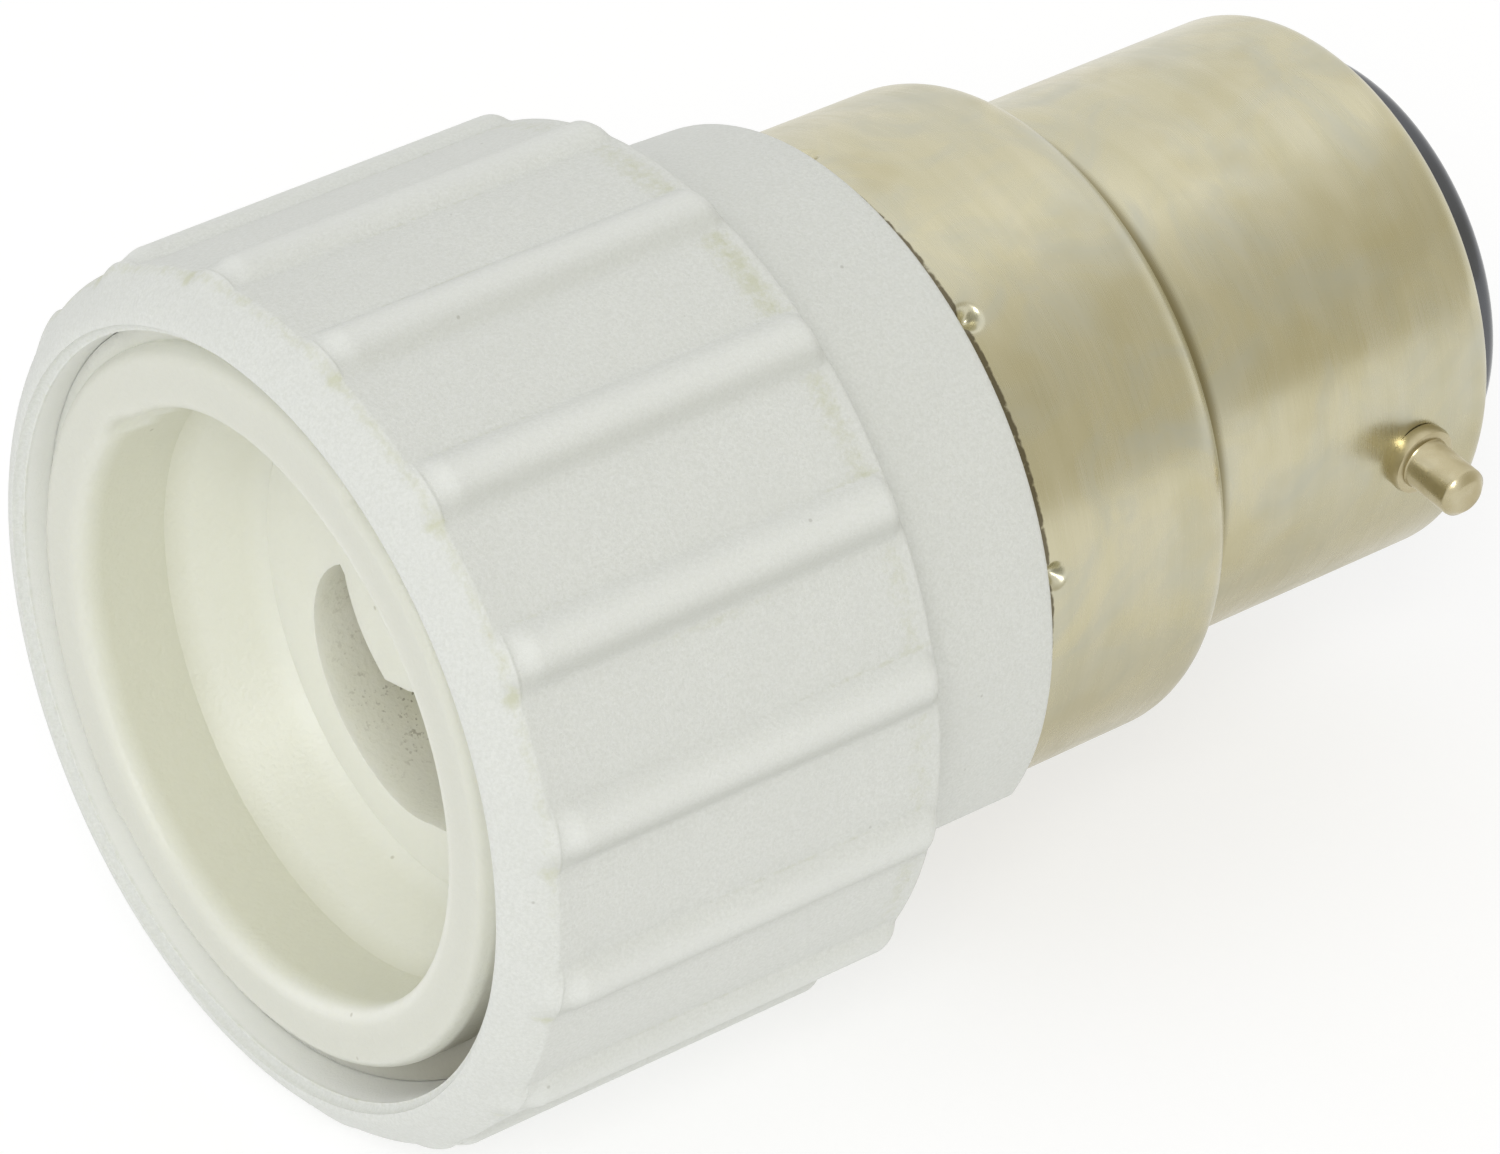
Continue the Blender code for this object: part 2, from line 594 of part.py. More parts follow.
def build_leads(col, axis, mat):
    """Insulated leads from the terminals to the end contacts."""
    lug_s = COVER_BACK_S + CLEAR
    for k in range(2):
        p, onward = lug_frame(k)
        start = p + onward * (LUG_LENGTH - BARREL_R)
        target = around(PAD_ANGLE + math.pi * k, PAD_OFFSET)
        if (start - target).length > (start + target).length:
            target = -target
        bottom = lug_s + LUG_T + 2 * CLEAR
        top = PAD_FACE_S - PAD_T - CLEAR
        points = [Vector((start.x, start.y, bottom)),
                  Vector((start.x, start.y, bottom + BARREL_LENGTH * 1.3)),
                  Vector((start.x * 0.95, start.y * 0.95, bottom + BARREL_LENGTH * 2.2)),
                  start.lerp(target, 0.45) + Vector((0, 0, (bottom + top) / 2)),
                  Vector((target.x, target.y, top - LEAD_STRAIGHT)),
                  Vector((target.x, target.y, top))]
        mesh = tube_mesh(f"lead_{k + 1}", smooth_path(points, 12), LEAD_R, 2)
        soften(mesh)
        add(bpy.data.objects.new(f"lead_{k + 1}", mesh), col, mat, axis)


def build_cap(col, bins, axis, mat, pin_mat):
    """Drawn brass cap: skirt, shoulder, 22 mm shell and rolled end."""
    shoulder = quarter(STEP_S, SHELL_R + STEP_FILLET, STEP_S - SHOULDER_R, SKIRT_R, 4)[::-1]
    fillet = quarter(STEP_S, SHELL_R + STEP_FILLET, STEP_S + STEP_FILLET, SHELL_R, 2)
    roll = quarter(SHELL_END_S - SHELL_ROLL, SHELL_R, SHELL_END_S, SHELL_R - SHELL_ROLL, 3, "s")
    line = [(SKIRT_S, SKIRT_R)] + shoulder + fillet[1:] + roll + [(SHELL_END_S, SHELL_MOUTH_R)]
    cap = add(turned("cap_shell", line[::-1], CAP_STEPS, closed=False), col, mat, axis)
    sheet = cap.modifiers.new("Sheet", "SOLIDIFY")
    sheet.thickness = CAP_T
    sheet.offset = -1.0
    sheet.use_even_offset = True

    stake_s = NECK_S + STAKE_S
    bumps = bmesh.new()
    balls = bmesh.new()
    for k in range(STAKE_COUNT):
        turn = Matrix.Rotation(STAKE_PHASE + TAU * k / STAKE_COUNT, 4, "Z")
        at = turn @ Matrix.Translation((0, SKIRT_R - CAP_T / 2, stake_s))
        piece = bmesh.new()
        bmesh.ops.create_uvsphere(piece, u_segments=8, v_segments=6, radius=STAKE_BALL + CAP_T)
        cut = bmesh.ops.bisect_plane(piece, geom=piece.verts[:] + piece.edges[:] + piece.faces[:],
                                     plane_co=(0, 0, 0), plane_no=(0, 1, 0), clear_outer=True)
        rim = [g for g in cut["geom_cut"] if isinstance(g, bmesh.types.BMEdge)]
        bmesh.ops.edgeloop_fill(piece, edges=rim)
        bmesh.ops.recalc_face_normals(piece, faces=piece.faces)
        bmesh.ops.transform(piece, matrix=at, verts=piece.verts)
        part = bpy.data.meshes.new("bump")
        piece.to_mesh(part)
        piece.free()
        bumps.from_mesh(part)
        bpy.data.meshes.remove(part)
        bmesh.ops.create_uvsphere(balls, u_segments=8, v_segments=6, radius=STAKE_BALL,
                                  matrix=turn @ Matrix.Translation((0, SKIRT_R - CAP_T / 4, stake_s)))
    boolean(cap, mesh_object("stake_bumps", bumps), "UNION", bins, axis)
    boolean(cap, mesh_object("stake_balls", balls), "DIFFERENCE", bins, axis)

    inside = SHELL_R - CAP_T
    profile = [(PIN_TIP_R, 0.0), (PIN_TIP_R, PIN_R * 0.55), (PIN_TIP_R - PIN_R * 0.35, PIN_R),
               (SHELL_R + CLEAR + PIN_COLLAR_T, PIN_R),
               (SHELL_R + CLEAR + PIN_COLLAR_T * 0.5, PIN_COLLAR_R),
               (SHELL_R + CLEAR, PIN_COLLAR_R), (SHELL_R + CLEAR, PIN_R),
               (inside - CLEAR, PIN_R), (inside - CLEAR, PIN_HEAD_R),
               (inside - CLEAR - PIN_HEAD_T, PIN_HEAD_R), (inside - CLEAR - PIN_HEAD_T, 0.0)]
    for k in range(2):
        hole = rod(f"pin_hole_{k + 1}", PIN_R + CLEAR * 0.6, SHELL_R - 2 * MM, SHELL_R + 2 * MM,
                   SMALL_STEPS)
        pin = turned(f"bayonet_pin_{k + 1}", profile, SMALL_STEPS, closed=False)
        for ob in (hole, pin):
            ob.rotation_euler = (-math.pi / 2, 0, PIN_ANGLE + math.pi * k)
            ob.location = (0, 0, PIN_S)
        boolean(cap, hole, "DIFFERENCE", bins, axis)
        add(pin, col, pin_mat, axis)
    return cap


def build_end(col, bins, axis, dark, brass, tin):
    """Moulded insulator in the rolled end, two contact pads and their solder."""
    plate_s = INSULATOR_END_S - INSULATOR_T
    waist = SHELL_MOUTH_R - CLEAR
    wide = SHELL_R - CAP_T - CLEAR
    front = SHELL_END_S - SHELL_ROLL - CAP_T
    inner_end = SHELL_END_S - CAP_T - CLEAR
    back = front - COLLAR_LENGTH
    face_r = INSULATOR_R - INSULATOR_DRAFT
    outline = [(plate_s, 0.0), (plate_s, wide - COLLAR_T), (back, wide - COLLAR_T), (back, wide),
               (front, wide), (inner_end, waist - CLEAR), (SHELL_END_S, waist - CLEAR)]
    outline += quarter(INSULATOR_END_S - INSULATOR_ROUND, face_r,
                       INSULATOR_END_S, face_r - INSULATOR_ROUND, 3, "s")
    outline += [(INSULATOR_END_S, 0.0)]
    disc = add(turned("cap_insulator", outline[::-1], CAP_STEPS, closed=False), col, dark, axis)
    for k in range(2):
        c = around(PAD_ANGLE + math.pi * k, PAD_OFFSET)
        seat = rod(f"pad_seat_{k + 1}", PAD_R + CLEAR, INSULATOR_END_S - PAD_SINK,
                   INSULATOR_END_S + MM, SMALL_STEPS, c.x, c.y)
        boolean(disc, seat, "DIFFERENCE", bins, axis)
        bore = rod(f"lead_bore_{k + 1}", BUSH_R + CLEAR, plate_s - MM, INSULATOR_END_S + MM,
                   SMALL_STEPS, c.x, c.y)
        boolean(disc, bore, "DIFFERENCE", bins, axis)
        face = PAD_FACE_S - CLEAR
        lift = INSULATOR_END_S - PAD_SINK + CLEAR / 2
        pad = [(face, LEAD_R), (face, PAD_R * 0.9), (face - PAD_T * 0.3, PAD_R),
               (lift, PAD_R), (lift, BUSH_R),
               (plate_s - BUSH_LENGTH, BUSH_R), (plate_s - BUSH_LENGTH, LEAD_R + CLEAR),
               (face - PAD_T, LEAD_R + CLEAR)]
        plate = turned(f"end_contact_{k + 1}", pad, SMALL_STEPS)
        plate.location = (c.x, c.y, 0)
        add(plate, col, brass, axis)
        dome = [(PAD_FACE_S, 0.0), (PAD_FACE_S, SOLDER_R)]
        for i in range(1, 5):
            t = SOLDER_FLAT * i / 4
            dome.append((PAD_FACE_S + SOLDER_H * math.sin(t) / math.sin(SOLDER_FLAT),
                         SOLDER_R * math.cos(t)))
        dome.append((TOTAL_LENGTH, 0.0))
        bead = turned(f"solder_{k + 1}", dome[::-1], SMALL_STEPS, closed=False)
        bead.location = (c.x, c.y, 0)
        add(bead, col, tin, axis)


def main():
    clear_scene()
    col = make_collection("lamp_socket_adapter")
    bins = make_collection("cutters")
    axis = bpy.data.objects.new("adapter_axis", None)
    axis.location = (-TOTAL_LENGTH / 2, 0, AXIS_HEIGHT)
    axis.rotation_euler = (0, math.pi / 2, 0)
    col.objects.link(axis)

    moulded = material("moulded_white", (222, 225, 219), 0.55)
    ceramic = material("cream_ceramic", (228, 229, 213), 0.32)
    plated = material("nickel_plated_brass", (190, 182, 150), 0.30, 1.0)
    brass = material("bare_brass", (181, 152, 92), 0.34, 1.0)
    bronze = material("spring_bronze", (176, 128, 84), 0.36, 1.0)
    dark = material("dark_moulding", (38, 42, 52), 0.14)
    tin = material("solder", (176, 178, 180), 0.38, 1.0)
    sleeve = material("lead_sleeve", (232, 230, 222), 0.60)

    build_housing(col, bins, axis, moulded)
    build_socket(col, bins, axis, ceramic)
    build_cover(col, bins, axis, ceramic)
    rivet = headed("centre_rivet", RIVET_R, RIVET_HEAD_R, RIVET_HEAD_T,
                   FLOOR_S + RIVET_SINK, COVER_BACK_S + CLEAR + RIVET_HEAD_T, SMALL_STEPS)
    add(rivet, col, brass, axis)
    build_contacts(col, bins, axis, bronze, brass)
    build_leads(col, axis, sleeve)
    build_cap(col, bins, axis, plated, brass)
    build_end(col, bins, axis, dark, brass, tin)


main()
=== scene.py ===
# %% [markdown]
# This lesson dresses a lamp socket adapter: a bayonet cap at one end, a ribbed
# moulded body in the middle, and a ceramic socket for a twist-lock lamp in its
# mouth. The solids come packed from the CAD step. Here every surface that shows
# gets its real shape at close range and a finish worked out from a real material.
# The adapter lies on two of its ribs with its axis along X and its mouth at -X.

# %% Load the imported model
import math

import bmesh
import bpy
import numpy as np
from mathutils import Matrix, Vector


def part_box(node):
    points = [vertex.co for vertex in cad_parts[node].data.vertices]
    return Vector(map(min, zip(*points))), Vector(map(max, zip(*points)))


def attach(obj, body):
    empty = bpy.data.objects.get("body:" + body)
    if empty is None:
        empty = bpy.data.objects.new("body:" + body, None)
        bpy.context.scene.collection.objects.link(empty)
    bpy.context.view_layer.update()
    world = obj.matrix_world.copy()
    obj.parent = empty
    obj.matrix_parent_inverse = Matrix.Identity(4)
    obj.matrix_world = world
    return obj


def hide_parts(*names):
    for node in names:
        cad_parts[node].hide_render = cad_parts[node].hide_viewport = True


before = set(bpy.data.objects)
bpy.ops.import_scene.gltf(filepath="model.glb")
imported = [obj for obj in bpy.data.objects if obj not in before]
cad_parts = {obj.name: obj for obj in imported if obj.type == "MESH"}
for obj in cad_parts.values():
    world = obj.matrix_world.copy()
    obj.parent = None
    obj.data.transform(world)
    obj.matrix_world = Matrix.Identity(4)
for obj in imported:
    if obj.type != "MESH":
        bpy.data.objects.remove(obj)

MM = 0.001
TAU = 2.0 * math.pi
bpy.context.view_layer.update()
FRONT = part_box("housing")[0].x
cap_low, cap_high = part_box("cap_shell")
AXIS_Z = (cap_low.z + cap_high.z) / 2
print("axis height in mm:", round(AXIS_Z / MM, 3))

# %% [markdown]
# Nearly every piece of an adapter is turned or moulded round one axis. Such a
# piece could be a curve with a Screw modifier, but ribs, flats and punched dimples
# need a radius that changes on the way round. So each skin here is a grid: its
# rows follow the profile, its columns go round the axis, and numpy gives every
# point its own radius. Sizes are in millimetres, s is the distance behind the
# front lip, r the radius, and angles run about the axis from +Y towards +Z.

# %% Tools for profiles and skins
def line(start, end, count):
    """Points from start to end without the last one."""
    steps = np.arange(count)[:, None] / count
    return np.asarray(start) + (np.asarray(end) - np.asarray(start)) * steps


def round_corner(start, end, count, leave_along_s):
    """A quarter ellipse from start to end without the last point."""
    t = np.arange(count) / count * math.pi / 2
    fast, slow = np.sin(t), 1 - np.cos(t)
    along_s, along_r = (fast, slow) if leave_along_s else (slow, fast)
    return np.stack([start[0] + (end[0] - start[0]) * along_s,
                     start[1] + (end[1] - start[1]) * along_r], axis=1)


def place(s, r, angle):
    """World points, in metres, of places given along and round the axis."""
    return np.stack([FRONT + s * MM, r * np.cos(angle) * MM, AXIS_Z + r * np.sin(angle) * MM], axis=-1)


def new_object(name, data):
    """Puts a mesh, a lamp or a camera into the scene."""
    made = bpy.data.objects.new(name, data)
    bpy.context.scene.collection.objects.link(made)
    return made


def write_marks(mesh, marks):
    """Keeps one value per point for each mark, for the finish to read."""
    for label, values in marks.items():
        mesh.attributes.new(label, "FLOAT", "POINT").data.foreach_set("value", values.ravel().astype("f4"))


def finish_mesh(name, points, faces, sharp_degrees, marks=None):
    """A smooth object with its normals outward, and marks kept as attributes."""
    mesh = bpy.data.meshes.new(name)
    mesh.from_pydata(points.tolist(), [], faces)
    write_marks(mesh, marks or {})
    bm = bmesh.new()
    bm.from_mesh(mesh)
    bmesh.ops.remove_doubles(bm, verts=bm.verts, dist=1e-7)
    if bm.calc_volume(signed=True) < 0:
        bmesh.ops.reverse_faces(bm, faces=bm.faces)
    bm.to_mesh(mesh)
    bm.free()
    mesh.shade_smooth()
    mesh.set_sharp_from_angle(angle=math.radians(sharp_degrees))
    return new_object(name, mesh)


def grid_faces(rows, columns, looped):
    """Four-sided faces of a grid that closes round the axis."""
    faces = []
    for i in range(rows if looped else rows - 1):
        here, after = i * columns, (i + 1) % rows * columns
        for j in range(columns):
            k = (j + 1) % columns
            faces.append((here + j, here + k, after + k, after + j))
    return faces


def skin(name, s, r, angles, looped=True, sharp_degrees=40, marks=None):
    """A grid round the axis; a looped profile runs back to its first row."""
    points = place(np.broadcast_to(s, r.shape), r, angles[None, :]).reshape(-1, 3)
    return finish_mesh(name, points, grid_faces(*r.shape, looped), sharp_degrees, marks)


def turned(name, profile, columns=96, sharp_degrees=40):
    """A plain turned piece on the main axis."""
    profile = np.asarray(profile, float)
    r = np.repeat(profile[:, 1:2], columns, axis=1)
    angles = np.arange(columns) / columns * TAU
    looped = bool(profile[0, 1] > 0)
    return skin(name, profile[:, 0:1], r, angles, looped, sharp_degrees)


def smooth_top(a, b, width):
    """The higher of two surfaces, with a fillet of that width where they meet."""
    share = np.clip(0.5 + 0.5 * (a - b) / width, 0, 1)
    return b + (a - b) * share + width * share * (1 - share)


def ease(value):
    """Goes from 0 to 1 without a corner."""
    value = np.clip(value, 0, 1)
    return value * value * (3 - 2 * value)


def band(value, middle, half_width):
    """1 at the middle, fading softly to 0 beyond the half width."""
    return np.exp(-((value - middle) / half_width) ** 2)


print("halfway up a soft step:", float(ease(0.5)))

# %% [markdown]
# A finish is a small tree of nodes. Colours are written as the sRGB hex values a
# painter would mix and turned to linear light in one place. One function adds a
# node with its settings and its links; whatever is the same all over a surface is
# set on the shader itself.

# %% Tools for finishes
def linear(code):
    """An sRGB hex colour as linear light with full alpha."""
    parts = [int(code[i:i + 2], 16) / 255 for i in (1, 3, 5)]
    return (*[v / 12.92 if v <= 0.04045 else ((v + 0.055) / 1.055) ** 2.4 for v in parts], 1.0)


def add_node(tree, kind, feeds=(), **settings):
    """Adds a node; feeds are pairs of an input with a value or another output."""
    made = tree.nodes.new(kind)
    for key, value in settings.items():
        setattr(made, key, value)
    for key, value in dict(feeds).items():
        if isinstance(value, bpy.types.NodeSocket):
            tree.links.new(value, made.inputs[key])
        else:
            made.inputs[key].default_value = value
    return made


def new_finish(name, roughness, metallic=0.0, ior=1.5, coat=0.0):
    """A material with only its shader, and the object's own coordinates."""
    finish = bpy.data.materials.new(name)
    finish.use_nodes = True
    tree = finish.node_tree
    shader = tree.nodes["Principled BSDF"]
    shader.inputs["Roughness"].default_value = roughness
    shader.inputs["Metallic"].default_value = metallic
    shader.inputs["IOR"].default_value = ior
    shader.inputs["Coat Weight"].default_value = coat
    here = add_node(tree, "ShaderNodeTexCoord").outputs["Object"]
    return finish, tree, shader, here


def per_metre(size_mm):
    """Texture scale at which one feature is that many millimetres across."""
    return 1.0 / (size_mm * MM)


print("sRGB grey #808080 as linear light:", round(linear("#808080")[0], 3))

# %% [markdown]
# The body is white PBT, a plastic that stands the heat of a lamp. It is moulded in
# a spark-eroded tool, so its skin is matte with a very fine grain, and it is a
# faintly green grey rather than pure white. A painted highlight lightens the crowns
# of the ribs and painted shade greys the flanks below them, and painted light makes
# the bore lighter. Light goes a little way into the plastic, so narrow gaps don't go
# dark. Olive dust stays along the upper feet of the ribs, in the parting line, round
# the mouth and at the back edge, with a few brown smears and pinhead specks. Below
# the feet and under the noses of the ribs, on the side that faces the table, the
# same olive is painted shade. A picture of dirt would smear over the curved ribs, so
# noise draws it, held to its places by marks that the mesh carries.

# %% Tools for coats and reliefs
def carried(tree, labels):
    """The marks that the mesh carries, by their labels."""
    return {label: add_node(tree, "ShaderNodeAttribute", attribute_name=label).outputs["Fac"]
            for label in labels}


def painted(tree, shader, ground, coats):
    """Coats of colour over a ground.

    Each coat has the value that places it, the values at which it begins and at
    which it is full, how strong it gets at most, and its colour.
    """
    tone = linear(ground)
    for value, low, high, most, colour in coats:
        share = add_node(tree, "ShaderNodeMapRange",
                         {"Value": value, "From Min": low, "From Max": high, "To Max": most}).outputs[0]
        tone = add_node(tree, "ShaderNodeMix", {0: share, 6: tone, 7: linear(colour)},
                        data_type="RGBA").outputs[2]
    tree.links.new(tone, shader.inputs["Base Color"])


def embossed(tree, shader, layers):
    """Bumps over bumps: each layer has a height, a strength and a depth in mm."""
    feeds = {}
    for height, strength, depth_mm in layers:
        feeds.update({"Height": height, "Strength": strength, "Distance": depth_mm * MM})
        feeds["Normal"] = add_node(tree, "ShaderNodeBump", feeds).outputs[0]
    tree.links.new(feeds["Normal"], shader.inputs["Normal"])


print("noise features 1 mm across need a scale of", round(per_metre(1.0)))

# %% Finish: white PBT, moulded in a spark-eroded tool
def white_pbt():
    """Matte grained plastic with dust, smears and specks, and painted light and shade."""
    finish, tree, shader, here = new_finish("white_pbt_spark_eroded", 0.58, ior=1.53)
    shader.inputs["Subsurface Weight"].default_value = 0.25
    shader.inputs["Subsurface Radius"].default_value = (1.0, 1.0, 0.9)
    shader.inputs["Subsurface Scale"].default_value = 0.7 * MM
    clouds = add_node(tree, "ShaderNodeTexNoise", {"Vector": here, "Scale": per_metre(4.0), "Detail": 3.0})
    # Spark erosion leaves pits of about 0.03 mm, drawn at 0.14 mm so that they show.
    grain = add_node(tree, "ShaderNodeTexNoise", {"Vector": here, "Scale": per_metre(0.14), "Detail": 3.0,
                                                  "Roughness": 0.7})
    crumbs = add_node(tree, "ShaderNodeTexNoise", {"Vector": here, "Scale": per_metre(0.40), "Detail": 5.0,
                                                   "Roughness": 0.75})
    sinks = add_node(tree, "ShaderNodeTexNoise", {"Vector": here, "Scale": per_metre(2.4), "Detail": 1.0})
    # Specks are real grains of about 0.1 mm, one in every cell of 2.4 mm.
    cells = add_node(tree, "ShaderNodeTexVoronoi", {"Vector": here, "Scale": per_metre(2.4)})
    worn = carried(tree, ("crest_highlight", "flank_shade", "inside", "dust_and_shade", "smear"))
    # Dry dirt is never even, so the noise breaks up its marks, and the painted shade that shares the dust
    # mark.
    dust_and_shade = add_node(tree, "ShaderNodeMath", {0: worn["dust_and_shade"], 1: crumbs.outputs["Fac"]},
                    operation="MULTIPLY")
    smear = add_node(tree, "ShaderNodeMath", {0: worn["smear"], 1: crumbs.outputs["Fac"]},
                     operation="MULTIPLY")
    painted(tree, shader, "#DCDED9", [
        (clouds.outputs["Fac"], 0.0, 1.0, 1.0, "#E3E5E0"),
        (grain.outputs["Fac"], 0.35, 0.65, 1.0, "#D7D9D3"),
        # Painted highlight on the rib crests, painted shade on their flanks that face the table.
        (worn["crest_highlight"], 0.0, 1.0, 0.45, "#EAECE7"),
        (worn["flank_shade"], 0.0, 1.0, 0.60, "#BEC0B8"),
        # Painted light: the bore is lighter.
        (worn["inside"], 0.0, 1.0, 1.0, "#EDEEEA"),
        # Dust, with painted shade in it below the rib feet and under the noses.
        (dust_and_shade.outputs[0], 0.28, 0.60, 0.80, "#C9CBB2"),
        (smear.outputs[0], 0.36, 0.60, 0.40, "#BFB094"),
        (cells.outputs["Distance"], 0.040, 0.020, 0.40, "#98968A"),
    ])
    embossed(tree, shader, [(sinks.outputs["Fac"], 0.35, 0.05), (grain.outputs["Fac"], 1.0, 0.03)])
    return finish


PBT = white_pbt()
print("finish made:", PBT.name)

# %% [markdown]
# The body itself is a drum with sixteen ribs and a plain neck. The tool parts just
# behind the lip, where the sloping collar stands a hair proud of the skin. The ribs
# sink towards that line, cross it as a fine ridge and run out on the collar. Each
# rib is a low arch with a broad flat crown that melts into the skin at its foot and
# rounds off at the back edge of the drum. The radius of every point is the higher
# of the plain profile and the rib, blended by a fillet.

# %% Housing: the profile
BORE = 14.95
PANEL = 16.95
CREASE = 1.60
DRUM_END = 18.77
NECK_END = 26.20
NECK_WIDE, NECK_NARROW = 14.65, 14.40
SPIGOT_END = 31.20

LIP_OUT = 15.45
COLLAR_END, COLLAR_TOP = 1.50, 17.04
MOUTH_EDGE = 0.32
COLLAR_FOOT, FOOT_PROUD = 1.80, 0.06
PANEL_FROM = 2.80
REAR_FROM, REAR_PROUD = 17.60, 0.05
DRUM_ROUND, DRUM_DROP = 0.25, 0.20
NECK_FILLET, NECK_ROUND = 0.15, 0.35

climb = np.arange(22) / 22
collar = np.stack([COLLAR_END * climb,
                   LIP_OUT + (COLLAR_TOP - LIP_OUT) * (1 - (1 - climb) ** 1.3) ** (1 / 1.3)], axis=1)

skin_rows = [
    round_corner((MOUTH_EDGE, BORE), (0.0, BORE + MOUTH_EDGE), 5, False),
    line((0.0, BORE + MOUTH_EDGE), (0.0, LIP_OUT), 2),
    collar,
    line((COLLAR_END, COLLAR_TOP), (COLLAR_FOOT, PANEL + FOOT_PROUD), 12),
    line((COLLAR_FOOT, PANEL + FOOT_PROUD), (PANEL_FROM, PANEL), 12),
    line((PANEL_FROM, PANEL), (REAR_FROM, PANEL + REAR_PROUD), 14),
    line((REAR_FROM, PANEL + REAR_PROUD), (DRUM_END - DRUM_ROUND, PANEL + REAR_PROUD), 14),
    round_corner((DRUM_END - DRUM_ROUND, PANEL + REAR_PROUD), (DRUM_END, PANEL - DRUM_DROP), 5, True),
]
drum_rows = sum(len(part) for part in skin_rows)
skin_rows += [
    line((DRUM_END, PANEL - DRUM_DROP), (DRUM_END, NECK_WIDE + NECK_FILLET), 3),
    round_corner((DRUM_END, NECK_WIDE + NECK_FILLET), (DRUM_END + NECK_FILLET, NECK_WIDE), 3, False),
    line((DRUM_END + NECK_FILLET, NECK_WIDE), (NECK_END - NECK_ROUND, NECK_NARROW), 9),
    round_corner((NECK_END - NECK_ROUND, NECK_NARROW), (NECK_END, NECK_NARROW - NECK_ROUND), 5, True),
]
neck_rows = sum(len(part) for part in skin_rows)
print("rows of the drum and of the drum with its neck:", drum_rows, neck_rows)

# %% Housing: the spigot under the cap, and the bore
NECK_FACE = 13.20
GROOVE, GROOVE_END = 11.78, 28.80
SPIGOT, SPIGOT_STRAIGHT, SPIGOT_TIP = 12.63, 30.95, 12.38
WIRE_WAY, WIRE_WAY_FROM = 11.20, 24.60
COVER_BORE, INSERT_STOP = 12.60, 17.65

skin_rows += [
    np.array([(NECK_END, NECK_FACE), (NECK_END, GROOVE), (GROOVE_END, GROOVE), (GROOVE_END, SPIGOT),
              (SPIGOT_STRAIGHT, SPIGOT), (SPIGOT_END, SPIGOT_TIP), (SPIGOT_END, WIRE_WAY),
              (WIRE_WAY_FROM, WIRE_WAY), (WIRE_WAY_FROM, COVER_BORE), (INSERT_STOP, COVER_BORE)]),
    # The rows of the bore lie closer together near the mouth, where dirt marks it.
    np.array([(depth, BORE) for depth in (INSERT_STOP, 12.0, 6.0, 2.0, 1.2, 0.7, 0.5, 0.4)]),
]
housing_profile = np.concatenate(skin_rows)
print("profile points of the housing:", len(housing_profile))

# %% Housing: ribs, crease and flat
RIBS = 16
RIB_HALF = 1.22
RISE_FRONT, RISE_REAR = 0.56, 0.50
NOSE_FROM, NOSE_RISE, NOSE_FULL = 0.45, 0.20, 2.75
TAIL_TOP, TAIL_END, TAIL_DROP = 17.97, 18.72, 0.75
ARCH = 2.7
RIB_SHARE = 0.21
PARTING_SHIFT = 0.10
FLASH_HIGH, FLASH_WIDE = 0.05, 0.08
FLAT_ANGLE = math.radians(229.0)
FLAT_FROM_AXIS = 13.70

pitch = TAU / RIBS
rib_zone = np.linspace(-RIB_SHARE, RIB_SHARE, 33)
panel_zone = np.linspace(RIB_SHARE, 1 - RIB_SHARE, 12)[1:-1]
columns = np.concatenate([np.concatenate([rib_zone, panel_zone]) + k for k in range(RIBS)])
housing_angles = (columns + 0.5) * pitch
across = (((columns + 0.5) % 1.0 - 0.5) * pitch * PANEL)[None, :]

s = housing_profile[:, 0:1]
base = np.repeat(housing_profile[:, 1:2], len(columns), axis=1)
on_drum = np.arange(len(s))[:, None] < drum_rows
nose = NOSE_RISE * ease((s - NOSE_FROM) / (CREASE - NOSE_FROM))
nose = nose + (RISE_FRONT - NOSE_RISE) * ease((s - CREASE) / (NOSE_FULL - CREASE))
tail = np.clip((s - TAIL_TOP) / (TAIL_END - TAIL_TOP), 0, 1)
crest = base + nose + (RISE_REAR - RISE_FRONT) * s / DRUM_END
crest = crest - TAIL_DROP * (1 - np.sqrt(1 - tail ** 2))
# The two halves of the tool meet a little out of line, and flash fills the step.
shifted = across - PARTING_SHIFT * ease((CREASE + 0.05 - s) / 0.10)
rib = crest - np.maximum(nose, 0.05) * (np.abs(shifted) / RIB_HALF) ** ARCH
radius = np.where(on_drum & (s > NOSE_FROM), smooth_top(rib, base, 0.2 * nose + 0.01), base)
rise = np.where(on_drum, nose, 0)
high = np.clip((radius - base) / NOSE_RISE, 0, 1)
flash = FLASH_HIGH * band(s, CREASE, FLASH_WIDE) * high
radius = radius + np.where(on_drum, flash, 0.0)

off_flat = np.cos(housing_angles - FLAT_ANGLE)
flat = FLAT_FROM_AXIS / np.where(off_flat > 0.1, off_flat, 0.1)
on_neck = (np.arange(len(s))[:, None] >= drum_rows + 3) & (np.arange(len(s))[:, None] < neck_rows)
radius = np.where(on_neck, np.minimum(radius, flat[None, :]), radius)
print("widest radius of the body in mm:", round(float(radius.max()), 3))

# %% Housing: marks for painted light and shade, dust and smears, and the finished piece
# As it lies, downhill is the side of a rib that faces the table.
steep = -np.cos(housing_angles)[None, :]
downhill = across * np.sign(steep)
slope = 0.35 + 0.65 * np.abs(steep)
drift = 0.5 + 0.5 * np.sin(housing_angles * 3.0 + s * 0.35)
between = ease((np.abs(across) - 1.0) / 0.5)
# Painted highlight on the crest of each rib, painted shade on its flank that faces the table.
crest_highlight = band(downhill, -0.15, 0.60) * ease(rise / 0.4)
flank_shade = band(downhill, 0.85, 0.38) * ease(rise / 0.3) * slope

